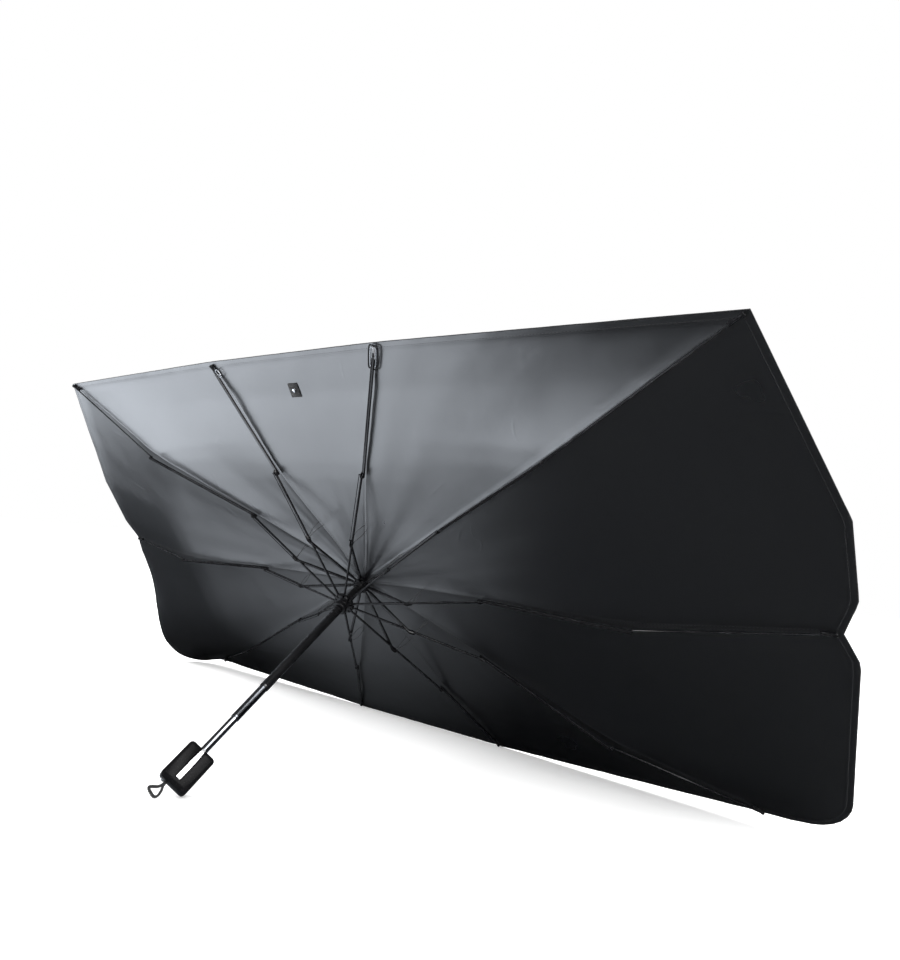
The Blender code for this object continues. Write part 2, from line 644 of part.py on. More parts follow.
def build_shaft(frame):
    """Three tubes that slide into each other."""
    build_tube("outer_tube", frame, OUTER_TUBE_R, OUTER_TUBE_TOP, OUTER_TUBE_END, BLACK_TUBE)
    middle_top = OUTER_TUBE_END - TUBE_OVERLAP
    build_tube("middle_tube", frame, MIDDLE_TUBE_R, middle_top, MIDDLE_TUBE_END, DARK_CHROME)
    inner_top = MIDDLE_TUBE_END - TUBE_OVERLAP
    inner_end = HANDLE_TOP + HANDLE_SOCKET - GAP
    build_tube("inner_tube", frame, INNER_TUBE_R, inner_top, inner_end, CHROME)


def rounded_box(low, high, radius, segments, name):
    """Mesh of a box whose edges are rounded by a Bevel modifier."""
    obj = bpy.data.objects.new(name, box_mesh(low, high, name))
    bpy.context.scene.collection.objects.link(obj)
    bevel = obj.modifiers.new("round", "BEVEL")
    bevel.width = radius
    bevel.segments = segments
    return applied(obj)


def build_handle(frame):
    """Flat handle block with an inlay along its face, a stud and a strap at its end."""
    turn = add_empty("handle_turn", frame, (0, 0, HANDLE_TOP), (0, 0, HANDLE_TURN))
    half_w = HANDLE_WIDTH / 2
    half_d = HANDLE_DEPTH / 2
    block = rounded_box((-half_w, -half_d, 0), (half_w, half_d, HANDLE_LENGTH), HANDLE_ROUND, 3, "handle")
    socket = rod_mesh(
        INNER_TUBE_R + GAP, 2 * HANDLE_SOCKET, Matrix.Identity(4), 24)
    inlay_half = INLAY_WIDTH / 2
    floor = half_d - INLAY_DEPTH
    recess = box_mesh(
        (-inlay_half - GAP, floor, -REACH), (inlay_half + GAP, half_d + REACH, INLAY_LENGTH + GAP))
    seat_x = -half_w + HANDLE_ROUND + STUD_R
    seat = rod_mesh(STUD_R + GAP, 2 * STUD_HEIGHT, Matrix.Translation((seat_x, 0, HANDLE_LENGTH)), 16)
    block = combine(block, [socket, recess, seat], "DIFFERENCE")
    add_object("handle", block, BLACK_PLASTIC, turn)

    inlay = rounded_box(
        (-inlay_half, floor + GAP, HANDLE_ROUND), (inlay_half, half_d + INLAY_PROUD, INLAY_LENGTH),
        0.8 * MM, 2, "handle_inlay")
    add_object("handle_inlay", inlay, CHROME, turn)

    rise = HANDLE_LENGTH - STUD_HEIGHT + GAP
    profile = [
        (0, rise + 2 * STUD_HEIGHT), (0.6 * STUD_R, rise + 1.8 * STUD_HEIGHT), (STUD_R, rise + 1.2 * STUD_HEIGHT),
        (STUD_R, rise), (0, rise)]
    turned(profile, "strap_stud", 16, turn, (seat_x, 0, 0), CHROME)
    build_strap(turn, seat_x)


def build_strap(turn, seat_x):
    """Short wrist strap folded into a small loop, hanging from the handle's end."""
    start = HANDLE_LENGTH + GAP
    side = seat_x + STUD_R + GAP
    waist = side + 2 * STRAP_THICKNESS
    end = start + STRAP_LENGTH
    half = STRAP_LOOP / 2
    middle = (side + waist) / 2 - 0.2 * STRAP_LOOP
    outer = [(side, start), (waist, start), (waist, start + 0.3 * STRAP_LENGTH)]
    outer += arc((middle + half - STRAP_THICKNESS, end - 2.5 * STRAP_THICKNESS), 2 * STRAP_THICKNESS, 0, 110, 4)
    outer += arc((middle - half, end - 2 * STRAP_THICKNESS), STRAP_THICKNESS, 110, 200, 3)
    outer += [(side, start + 0.3 * STRAP_LENGTH)]
    band = plate(outer, STRAP_WIDTH, "strap")
    inner = [
        ((side + waist) / 2, start + 0.42 * STRAP_LENGTH),
        (middle + half - 1.6 * STRAP_THICKNESS, end - 3 * STRAP_THICKNESS),
        (middle - 0.5 * half, end - 2.4 * STRAP_THICKNESS)]
    hollow = plate(inner, 2 * STRAP_WIDTH, "strap_hollow")
    add_object("strap", combine(band, [hollow], "DIFFERENCE"), STRAP_BLACK, turn)


def rounded_corner(before, corner, after, radius, steps):
    """Points of a round corner between two straight edges."""
    first = (Vector(before) - Vector(corner)).normalized()
    second = (Vector(after) - Vector(corner)).normalized()
    half_angle = first.angle(second) / 2
    tangent = radius / math.tan(half_angle)
    centre = Vector(corner) + (first + second).normalized() * (radius / math.sin(half_angle))
    start = Vector(corner) + first * tangent - centre
    end = Vector(corner) + second * tangent - centre
    turn = start.angle_signed(end)
    return [centre + Matrix.Rotation(-turn * step / steps, 2) @ start for step in range(steps + 1)]


def right_rim():
    """The rim's right half, from the upper tip down to the lower tip, one list for each gore."""
    side = [Vector(UPPER_CORNER), Vector(SIDE_BULGE)]
    side += rounded_corner(SIDE_BULGE, SIDE_SHOULDER, SIDE_TIP, SHOULDER_R, 4)
    side += [Vector(SIDE_TIP)]
    lower = [Vector(SIDE_TIP)]
    lower += rounded_corner(SIDE_TIP, NOTCH_SHOULDER, LOWER_CORNER, SHOULDER_R, 4)
    lower += rounded_corner(NOTCH_SHOULDER, LOWER_CORNER, LOWER_CORNER_TIP, LOWER_CORNER_R, 6)
    lower += [Vector(LOWER_CORNER_TIP)]
    return [
        [Vector(UPPER_TIP), Vector(UPPER_CORNER)], side, lower,
        [Vector(LOWER_CORNER_TIP), Vector(LOWER_TIP)]]


def whole_rim():
    """All ten gores' stretches of rim, clockwise from the top."""
    right = right_rim()
    left = []
    for stretch in reversed(right):
        left.append([Vector((-point.x, point.y)) for point in reversed(stretch)])
    bottom = [Vector(LOWER_TIP), Vector((-LOWER_TIP[0], LOWER_TIP[1]))]
    top = [Vector((-UPPER_TIP[0], UPPER_TIP[1])), Vector(UPPER_TIP)]
    return right + [bottom] + left + [top]


def resampled(points, count):
    """Points at even steps along a polyline, its corners kept where it has as many."""
    lengths = [0.0]
    for first, second in zip(points, points[1:]):
        lengths.append(lengths[-1] + (second - first).length)
    result = []
    for step in range(count + 1):
        wanted = lengths[-1] * step / count
        place = 0
        while place < len(points) - 2 and lengths[place + 1] < wanted:
            place += 1
        share = (wanted - lengths[place]) / (lengths[place + 1] - lengths[place])
        result.append(points[place].lerp(points[place + 1], share))
    return result


def cloth_depth(share, across_gore, gore):
    """Depth of the cloth: share is the way out to the rim, across_gore the way over the gore."""
    depth = CLOTH_TOP_Z + (CLOTH_RIM_Z - CLOTH_TOP_Z) * share
    depth -= BILLOW * math.sin(math.pi * across_gore) * math.sin(math.pi * share)
    down_side = 1 - across_gore if gore == LEFT_CORNER_GORE else across_gore
    curl = CORNER_CURLS.get(gore, 0.0) * math.sin(math.pi * down_side ** CURL_LEAN) ** 2
    return depth + curl * share ** CURL_RISE


def build_canopy(frame):
    """One thin curved sheet with the real outline, ten gores meeting at the ribs."""
    bm = bmesh.new()
    stretches = whole_rim()
    columns = []
    for gore, stretch in enumerate(stretches):
        for step, rim in enumerate(resampled(stretch, GORE_COLUMNS)[:-1]):
            across_gore = step / GORE_COLUMNS
            hole = rim.normalized() * CLOTH_HOLE_R
            column = []
            for row in range(ROWS + 1):
                share = (row / ROWS) ** ROW_CROWDING
                point = hole.lerp(rim, share)
                depth = cloth_depth(share, across_gore, gore)
                column.append(bm.verts.new((point.x, point.y, depth)))
            columns.append(column)
    for place, column in enumerate(columns):
        after = columns[(place + 1) % len(columns)]
        for row in range(ROWS):
            bm.faces.new((column[row], column[row + 1], after[row + 1], after[row]))
    mesh = bpy.data.meshes.new("canopy")
    bm.normal_update()
    bm.to_mesh(mesh)
    bm.free()
    mesh.shade_smooth()
    canopy = add_object("canopy", mesh, CLOTH_BLACK, frame)
    solid = canopy.modifiers.new("thickness", "SOLIDIFY")
    solid.thickness = CLOTH
    solid.offset = 0
    return canopy


def build_tab(frame):
    """Closing tab sewn to the cloth near its top edge, with a snap."""
    depths = []
    for end in (-TAB_LENGTH / 2, TAB_LENGTH / 2):
        share = (TAB_CENTRE[1] + end) / UPPER_TIP[1]
        across_gore = 0.5 + TAB_CENTRE[0] / (2 * UPPER_TIP[0] * share)
        depths.append(cloth_depth(share, across_gore, TOP_GORE))
    face = sum(depths) / 2 + CLOTH / 2
    tilt = math.atan2(depths[1] - depths[0], TAB_LENGTH)
    tab = rounded_box(
        (-TAB_WIDTH / 2, -TAB_LENGTH / 2, 0), (TAB_WIDTH / 2, TAB_LENGTH / 2, TAB_THICKNESS),
        0.5 * MM, 2, "closing_tab")
    seat = add_object("closing_tab", tab, CLOTH_BLACK, frame, (*TAB_CENTRE, face + GAP), (tilt, 0, 0))
    profile = [
        (0, SNAP_HEIGHT), (0.7 * SNAP_R, SNAP_HEIGHT), (SNAP_R, 0.5 * SNAP_HEIGHT), (SNAP_R, 0), (0, 0)]
    turned(profile, "snap", 16, seat, (0, 0, TAB_THICKNESS + GAP), CHROME)


def lowest(obj_filter, tilt):
    """Lowest height of some pieces when the shade leans back by a tilt."""
    low = math.inf
    for y, z in obj_filter:
        low = min(low, y * math.cos(tilt) - z * math.sin(tilt))
    return low


def stand_up(frame):
    """Tilt the shade so that its rim and its handle touch the ground together."""
    bpy.context.view_layer.update()
    graph = bpy.context.evaluated_depsgraph_get()
    shade = []
    grip = []
    for obj in PARTS.objects:
        if obj.type == "EMPTY":
            continue
        points = obj.evaluated_get(graph).to_mesh().vertices
        places = [obj.matrix_world @ point.co for point in points]
        store = grip if obj.name in ("handle", "handle_inlay", "strap", "strap_stud") else shade
        store.extend((place.y, place.z) for place in places)
    low_tilt = math.radians(10)
    high_tilt = math.radians(70)
    for _step in range(50):
        tilt = (low_tilt + high_tilt) / 2
        if lowest(shade, tilt) < lowest(grip, tilt):
            low_tilt = tilt
        else:
            high_tilt = tilt
    frame.rotation_euler = (math.pi / 2 + tilt, 0, 0)
    bpy.context.view_layer.update()
    corners = [[], [], []]
    for obj in PARTS.objects:
        if obj.type == "EMPTY":
            continue
        points = obj.evaluated_get(bpy.context.evaluated_depsgraph_get()).to_mesh().vertices
        for point in points:
            place = obj.matrix_world @ point.co
            for axis in range(3):
                corners[axis].append(place[axis])
    middle_x = (min(corners[0]) + max(corners[0])) / 2
    middle_y = (min(corners[1]) + max(corners[1])) / 2
    frame.location = (-middle_x, -middle_y, -min(corners[2]))


def build():
    frame = add_empty("shade_frame")
    build_canopy(frame)
    build_crown(frame)
    build_cap(frame)
    build_shaft(frame)
    build_runner(frame)
    build_arms(frame)
    build_handle(frame)
    build_tab(frame)
    stand_up(frame)


clear_scene()
PARTS = make_collection("umbrella_sunshade")
build()
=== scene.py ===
import json
import math

import bmesh
import bpy
import numpy as np
from mathutils import Matrix, Vector

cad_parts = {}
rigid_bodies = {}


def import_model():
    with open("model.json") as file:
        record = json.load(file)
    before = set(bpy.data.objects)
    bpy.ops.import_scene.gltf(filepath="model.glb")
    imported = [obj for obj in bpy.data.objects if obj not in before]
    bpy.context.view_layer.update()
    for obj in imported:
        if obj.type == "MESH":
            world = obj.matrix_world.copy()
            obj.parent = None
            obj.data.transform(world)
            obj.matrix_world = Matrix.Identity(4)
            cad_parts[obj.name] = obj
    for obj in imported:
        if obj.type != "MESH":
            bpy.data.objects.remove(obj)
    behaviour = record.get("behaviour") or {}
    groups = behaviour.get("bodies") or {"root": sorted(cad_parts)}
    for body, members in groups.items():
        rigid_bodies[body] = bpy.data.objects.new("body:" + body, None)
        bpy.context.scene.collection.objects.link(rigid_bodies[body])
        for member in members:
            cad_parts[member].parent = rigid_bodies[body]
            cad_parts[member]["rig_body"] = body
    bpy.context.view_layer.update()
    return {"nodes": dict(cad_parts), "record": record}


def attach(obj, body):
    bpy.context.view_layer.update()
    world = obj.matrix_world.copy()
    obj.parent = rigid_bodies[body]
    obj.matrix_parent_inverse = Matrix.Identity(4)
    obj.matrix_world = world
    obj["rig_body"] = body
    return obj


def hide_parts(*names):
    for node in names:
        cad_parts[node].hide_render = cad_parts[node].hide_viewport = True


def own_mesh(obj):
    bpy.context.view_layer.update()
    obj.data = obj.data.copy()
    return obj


for leftover in list(bpy.data.objects):
    bpy.data.objects.remove(leftover, do_unlink=True)

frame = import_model()

MM = 0.001


def in_metres(*rows):
    """Rows of millimetres as rows of metres."""
    return tuple(tuple(value * MM for value in row) for row in rows)


# Canopy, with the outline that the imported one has
CAP_FACE_Z = -8.6 * MM
CLOTH = 0.5 * MM
CLOTH_TOP_Z = -1.0 * MM
CLOTH_HOLE_R = 5.6 * MM
CLOTH_RIM_Z = -16.8 * MM
SIDE_TIP = (0.686, 0.016)
UPPER_CORNER = (0.608, 0.389)
UPPER_TIP = (0.170, 0.400)
LOWER_TIP = (0.166, -0.362)
LOWER_CORNER_TIP = (0.600, -0.336)
SIDE_BULGE = (0.691, 0.165)
SIDE_SHOULDER = (0.699, 0.062)
NOTCH_SHOULDER = (0.703, -0.026)
LOWER_CORNER = (0.700, -0.338)
LOWER_CORNER_R = 0.050
SHOULDER_R = 0.030

# The lower left tip hangs out of its mirrored place, and both lower corners curl
SLACK_REACH = 0.25
SLACK_SHIFT = (-3 * MM, -7 * MM)
RIGHT_CORNER_GORE = 2
LEFT_CORNER_GORE = 6
CORNER_CURLS = {RIGHT_CORNER_GORE: -14.0 * MM, LEFT_CORNER_GORE: 57.0 * MM}
CURL_LEAN = 1.4
CURL_RISE = 4

# How the ribs hold the seams up: radius and lift along an arm, and how far before the tip it ends
LONG_ARM_LIFT = in_metres((0, 0), (60, 0.5), (117, 4), (230, 10), (340, 19), (430, 26), (475, 26))
SHORT_ARM_LIFT = in_metres((0, 0), (60, 1.4), (117, 5.5), (215, 12.5), (245, 12))
LONG_ARM_LIFT_END = 12 * MM
SHORT_ARM_LIFT_END = 48 * MM
LIFT_SAMPLES = 400
EASED_SAMPLES = 25
LIFT_SLACK = 0.12
SEAM_ROOM = 1.8 * MM
BILLOW = 4.0 * MM
NOISE_CELLS = 64

# How finely the cloth is drawn, and where its seams and hem lie
HALF_GORE_COLUMNS = 20
ROWS = 96
ROW_CROWDING = 1.12
SEAM_COLUMNS, = in_metres((1.2, 2.4, 3.8))
STITCH_COLUMN = 2
WEAVE_SPACING = 0.45 * MM
HEM_ROWS, = in_metres((14.0, 10.4, 9.4, 7.4, 4.0, 1.0, 0.0))
HEM_STITCH_ROW = 3
BINDING_ROWS = 2
SEAM_HALF_WIDTH = 3.4 * MM
SEAM_RISE = 0.45 * MM
HEM_WIDTH = 9.9 * MM
HEM_RISE = 0.30 * MM

# Shaft, handle and strap
TUBE_WALL = 0.55 * MM
TUBE_BEAD = 0.22 * MM
TUBE_SIDES = 64
SLEEVE_SIDES = 24
TUBES = (
    ("outer_tube", 7.0 * MM, 2.0 * MM, 243.0 * MM), ("middle_tube", 6.15 * MM, 221.0 * MM, 299.0 * MM),
    ("inner_tube", 5.3 * MM, 277.0 * MM, 369.7 * MM))
HANDLE_TOP = 354.0 * MM
HANDLE_TURN = math.radians(-50.0)
HANDLE_WIDTH = 41.0 * MM
HANDLE_DEPTH = 23.0 * MM
HANDLE_END = 52.0 * MM
HANDLE_ROUND = 5.0 * MM
INLAY_WIDTH = 6.2 * MM
INLAY_END = 43.0 * MM
STUD_R = 3.4 * MM
STRAP_WIDTH = 6.0 * MM

# Thread, and how high the knees lie that it ties to the seams
STITCH_SPACING = 4.2 * MM
STITCH_LENGTH = 3.2 * MM
STITCH_WIDTH = 0.55 * MM
TIE_R = 0.42 * MM
KNEE_Z = 33.0 * MM

# Sleeves at the ribs' tips, and wire catches: arm, width, length, inset, aside, wire radius, slot
TIP_DEPTH = -13.0 * MM
SLEEVE_INSET = 23.0 * MM
SLEEVE_PROFILE = in_metres(
    (1.5, 0), (2.5, 0), (2.75, 0.4), (2.75, 3.0), (2.35, 3.6), (2.35, 13.5), (2.75, 14.2), (2.75, 16.6),
    (2.2, 17.6), (1.5, 17.6))
CLEAR_TIPS = ("top_mid_right",)
CATCH_DEPTH = -11.5 * MM
CATCHES = (
    ("top_mid_right", 14 * MM, 33 * MM, 37 * MM, 0.0, 1.0 * MM, "black_plastic"),
    ("top_mid_right", 9 * MM, 26 * MM, 33 * MM, 0.0, 0.7 * MM, "bright_chrome"),
    ("top_mid_left", 6 * MM, 13 * MM, 30 * MM, -6 * MM, 0.7 * MM, "bright_chrome"))

# CAD nodes that are drawn anew, the others' eased edges, and the closing tab's seat
REBUILT_NODES = ("canopy", "outer_tube", "middle_tube", "inner_tube", "handle_inlay", "strap")
NODE_EASE = {"handle": 0.5 * MM, "crown": 0.2 * MM, "runner": 0.25 * MM, "cap": 0.3 * MM}
PLAIN_EASE = 0.12 * MM
WIRE_EASE = 0.08 * MM
SHARP_ANGLE = math.radians(50)
TAB_ARM = "top_mid_left"
TAB_UNDERSIDE_Z = -15.9 * MM
TAB_SEAT_R = 22.0 * MM

# Camera, in the shade's frame
CAMERA_PLACE = (0.696, 0.568, 0.605)
CAMERA_FORWARD = (-0.5467, -0.4292, -0.7180)
CAMERA_RIGHT = (0.8370, -0.2522, -0.4857)
LENS_MM = 23.52
SENSOR_MM = 36.0

# The arms, clockwise from the one right of the top's middle. Gore n runs from arm n to the next.
ARM_ORDER = [
    "top_mid_right", "top_right", "right", "bottom_right", "bottom_mid_right",
    "bottom_mid_left", "bottom_left", "left", "top_left", "top_mid_left"]
SHORT_ARMS = ("top_mid_right", "top_mid_left", "bottom_mid_right", "bottom_mid_left")


def shade_matrix():
    """The shade's own frame, from the face of its cap."""
    mount = next(m for m in frame["record"]["mounts"] if m["name"] == "cap_face")
    along = -Vector(mount["axis"]).normalized()
    right = Vector((1, 0, 0))
    up = along.cross(right)
    place = Vector(mount["pos_m"]) - along * CAP_FACE_Z
    return Matrix.Translation(place) @ Matrix((right, up, along)).transposed().to_4x4()


SHADE = shade_matrix()
SHADE_TURN = SHADE.to_3x3()


def node(tree, kind, inputs=None, **settings):
    """One node, with its settings and with values or links on its inputs."""
    made = tree.nodes.new(kind)
    for name, value in settings.items():
        setattr(made, name, value)
    for name, value in (inputs or {}).items():
        socket = made.inputs[name]
        if isinstance(value, bpy.types.NodeSocket):
            tree.links.new(value, socket)
        else:
            socket.default_value = value
    return made


def maths(tree, operation, *values):
    """Output of a Math node over one to three values or links."""
    return node(tree, "ShaderNodeMath", dict(enumerate(values)), operation=operation).outputs[0]


def mapped(tree, value, low, high, to_low=0.0, to_high=1.0):
    """Output of a Map Range node, clamped."""
    ranges = {"From Min": low, "From Max": high, "To Min": to_low, "To Max": to_high}
    return node(tree, "ShaderNodeMapRange", {"Value": value, **ranges}).outputs["Result"]


def mixed(tree, share, first, second):
    """Output of a colour Mix node."""
    return node(tree, "ShaderNodeMix", {0: share, 6: first, 7: second}, data_type="RGBA").outputs[2]


def new_group(name, kind, inputs, outputs):
    """A node group with named sockets, and its input and output nodes."""
    group = bpy.data.node_groups.new(name, kind)
    for label, socket_type, value in inputs:
        socket = group.interface.new_socket(label, in_out="INPUT", socket_type="NodeSocket" + socket_type)
        if value is not None:
            socket.default_value = value
    for label, socket_type in outputs:
        group.interface.new_socket(label, in_out="OUTPUT", socket_type="NodeSocket" + socket_type)
    return group, group.nodes.new("NodeGroupInput").outputs, group.nodes.new("NodeGroupOutput").inputs


def edge_wear_and_glint_group():
    """Mask of worn edges, broken up by noise; it also places painted highlight glints on edges where the edge
    colour is pale.
    """
    group, given, made = new_group("edge_wear_and_glint", "ShaderNodeTree", [
        ("Position", "Vector", None), ("Radius", "Float", 0.3 * MM),
        ("Patch Scale", "Float", 60.0), ("Amount", "Float", 0.6)],
        [("Mask", "Float"), ("Normal", "Vector")])
    eased = node(group, "ShaderNodeBevel", {"Radius": given["Radius"]}, samples=4)
    flat = node(group, "ShaderNodeNewGeometry")
    dot = node(group, "ShaderNodeVectorMath", {
        0: eased.outputs[0], 1: flat.outputs["Normal"]}, operation="DOT_PRODUCT")
    edge = mapped(group, dot.outputs["Value"], 0.99, 0.80)
    patches = node(group, "ShaderNodeTexNoise", {
        "Vector": given["Position"], "Scale": given["Patch Scale"], "Detail": 3.0})
    broken = mapped(group, patches.outputs["Fac"], 0.42, 0.62)
    mask = maths(group, "MULTIPLY", maths(group, "MULTIPLY", edge, broken), given["Amount"])
    group.links.new(mask, made["Mask"])
    group.links.new(eased.outputs[0], made["Normal"])
    return group


def weave_group():
    """Height of a plain weave whose threads run along X and Y."""
    group, given, made = new_group("plain_weave", "ShaderNodeTree", [
        ("Position", "Vector", None), ("Thread Spacing", "Float", 0.5 * MM)],
        [("Height", "Float")])
    place = node(group, "ShaderNodeSeparateXYZ", {0: given["Position"]})
    waves = []
    for axis in ("X", "Y"):
        turns = maths(group, "DIVIDE", place.outputs[axis], given["Thread Spacing"])
        waves.append(maths(group, "SINE", maths(group, "MULTIPLY", turns, 2 * math.pi)))
    height = maths(group, "MULTIPLY", *waves)
    group.links.new(maths(group, "MULTIPLY_ADD", height, 0.5, 0.5), made["Height"])
    return group


def crease_group():
    """Height of fine sharp creases and of soft crumples in cloth that has been folded."""
    group, given, made = new_group("fold_creases", "ShaderNodeTree", [
        ("Position", "Vector", None), ("Crumple Scale", "Float", 30.0),
        ("Crease Scale", "Float", 9.0), ("Crease Share", "Float", 0.5)],
        [("Height", "Float")])
    soft = node(group, "ShaderNodeTexNoise", {
        "Vector": given["Position"], "Scale": given["Crumple Scale"], "Detail": 3.0, "Roughness": 0.45})
    bent = node(group, "ShaderNodeTexNoise", {
        "Vector": given["Position"], "Scale": given["Crease Scale"], "Detail": 2.0, "Distortion": 0.8})
    away = maths(group, "ABSOLUTE", maths(group, "SUBTRACT", bent.outputs["Fac"], 0.5))
    ridge = mapped(group, away, 0.0, 0.02, 1.0, 0.0)
    where = mapped(group, soft.outputs["Fac"], 0.50, 0.62)
    ridge = maths(group, "MULTIPLY", maths(group, "MULTIPLY", ridge, where), given["Crease Share"])
    group.links.new(maths(group, "ADD", soft.outputs["Fac"], ridge), made["Height"])
    return group


def finish_group():
    """Colour and roughness varied by smudges and by fine specks of dust."""
    group, given, made = new_group("handled_finish", "ShaderNodeTree", [
        ("Position", "Vector", None), ("Color", "Color", None),
        ("Dust Color", "Color", (0.30, 0.30, 0.31, 1.0)), ("Roughness", "Float", 0.35),
        ("Smudge Scale", "Float", 22.0), ("Roughness Spread", "Float", 0.12),
        ("Dust", "Float", 0.05)],
        [("Color", "Color"), ("Roughness", "Float")])
    smudges = node(group, "ShaderNodeTexNoise", {
        "Vector": given["Position"], "Scale": given["Smudge Scale"], "Detail": 4.0})
    specks = node(group, "ShaderNodeTexNoise", {"Vector": given["Position"], "Scale": 900.0, "Detail": 2.0})
    dust = maths(group, "MULTIPLY", mapped(group, specks.outputs["Fac"], 0.56, 0.75), given["Dust"])
    group.links.new(mixed(group, dust, given["Color"], given["Dust Color"]), made["Color"])
    uneven = maths(group, "SUBTRACT", smudges.outputs["Fac"], 0.5)
    spread = maths(group, "MULTIPLY", uneven, given["Roughness Spread"])
    group.links.new(maths(group, "MULTIPLY_ADD", spread, 2.0, given["Roughness"]), made["Roughness"])
    return group


EDGE_WEAR_AND_GLINT = edge_wear_and_glint_group()
WEAVE = weave_group()
CREASES = crease_group()
HANDLED = finish_group()


def start_material(name, **constants):
    """A material with a Principled shader, its constants set on the shader's own sockets."""
    material = bpy.data.materials.new(name)
    material.use_nodes = True
    tree = material.node_tree
    shader = tree.nodes["Principled BSDF"]
    for label, value in constants.items():
        shader.inputs[label.replace("_", " ").title().replace("Ior", "IOR")].default_value = value
    position = node(tree, "ShaderNodeTexCoord").outputs["Object"]
    return material, tree, shader, position


def placed_group(tree, group, inputs):
    return node(tree, "ShaderNodeGroup", inputs, node_tree=group)


def vary_finish(tree, shader, inputs):
    """The shader's colour and roughness, through the group that adds smudges and dust."""
    handled = placed_group(tree, HANDLED, inputs)
    tree.links.new(handled.outputs["Color"], shader.inputs["Base Color"])
    tree.links.new(handled.outputs["Roughness"], shader.inputs["Roughness"])


def bumped(tree, shader, height, distance, strength=1.0, normal=None):
    inputs = {"Height": height, "Distance": distance, "Strength": strength}
    if normal is not None:
        inputs["Normal"] = normal
    bump = node(tree, "ShaderNodeBump", inputs)
    tree.links.new(bump.outputs[0], shader.inputs["Normal"])


def shade_position(tree, position):
    """Object coordinates turned so that the cloth's plane is X and Y."""
    turn = SHADE_TURN.transposed().to_euler()
    return node(tree, "ShaderNodeMapping", {"Vector": position, "Rotation": turn}).outputs[0]


def cloth_material(name, color, roughness, metallic, ior):
    """Coated woven cloth with creases from folding, a fine weave and uneven gloss."""
    material, tree, shader, position = start_material(
        name, metallic=metallic, ior=ior, specular_ior_level=1.0)
    flat = shade_position(tree, position)
    creases = placed_group(tree, CREASES, {
        "Position": flat, "Crumple Scale": 14.0, "Crease Scale": 7.0, "Crease Share": 0.25})
    weave = placed_group(tree, WEAVE, {"Position": flat, "Thread Spacing": WEAVE_SPACING})
    height = maths(tree, "MULTIPLY_ADD", weave.outputs[0], 0.02, creases.outputs["Height"])
    bumped(tree, shader, height, 1.0 * MM, 0.5)
    vary_finish(tree, shader, {
        "Position": flat, "Color": (*color, 1.0), "Roughness": roughness, "Smudge Scale": 6.0,
        "Roughness Spread": 0.06, "Dust": 0.0})
    return material


def hard_material(
        name, color, worn_and_glint_color, roughness, metallic, wear=0.5, radius=0.25 * MM, grain=0.0, coat=0.0,
        shine=0.5):
    """Painted, plated or moulded surface with eased, worn edges; a pale worn edge colour also paints
    highlight glints there.
    """
    material, tree, shader, position = start_material(
        name, metallic=metallic, coat_weight=coat, specular_ior_level=shine)
    worn_or_glinting_edges = placed_group(tree, EDGE_WEAR_AND_GLINT, {"Position": position, "Radius": radius, "Amount": wear})
    handled = placed_group(tree, HANDLED, {
        "Position": position, "Color": (*color, 1.0), "Roughness": roughness})
    worn_or_glinting_color = mixed(tree, worn_or_glinting_edges.outputs["Mask"], handled.outputs["Color"], (*worn_and_glint_color, 1.0))
    tree.links.new(worn_or_glinting_color, shader.inputs["Base Color"])
    tree.links.new(handled.outputs["Roughness"], shader.inputs["Roughness"])
    if grain:
        bumps = node(tree, "ShaderNodeTexNoise", {"Vector": position, "Scale": 1800.0, "Detail": 2.0})
        bumped(tree, shader, bumps.outputs["Fac"], grain, 0.4, worn_or_glinting_edges.outputs["Normal"])
    else:
        tree.links.new(worn_or_glinting_edges.outputs["Normal"], shader.inputs["Normal"])
    return material


def thread_material():
    """Twisted black sewing thread."""
    material, tree, shader, position = start_material("black_thread", sheen_weight=0.3)
    twist = node(tree, "ShaderNodeTexWave", {
        "Vector": position, "Scale": 900.0, "Distortion": 1.0}, bands_direction="DIAGONAL")
    bumped(tree, shader, twist.outputs["Fac"], 0.1 * MM, 0.6)
    vary_finish(tree, shader, {"Position": position, "Color": (0.016, 0.016, 0.018, 1.0), "Roughness": 0.6})
    return material


def webbing_material():
    """Ribbed woven webbing."""
    material, tree, shader, position = start_material("strap_webbing", sheen_weight=0.4, sheen_roughness=0.4)
    flat = shade_position(tree, position)
    weave = placed_group(tree, WEAVE, {"Position": flat, "Thread Spacing": 1.1 * MM})
    bumped(tree, shader, weave.outputs[0], 0.25 * MM, 0.8)
    vary_finish(tree, shader, {
        "Position": position, "Color": (0.011, 0.011, 0.012, 1.0), "Roughness": 0.75, "Dust": 0.1})
    return material


INSIDE_CLOTH = cloth_material("black_coated_cloth", (0.0042, 0.0047, 0.0065), 0.30, 0.0, ior=1.9)
OUTSIDE_CLOTH = cloth_material("silver_coated_cloth", (0.50, 0.52, 0.54), 0.45, 0.55, ior=1.45)
THREAD = thread_material()
WEBBING = webbing_material()
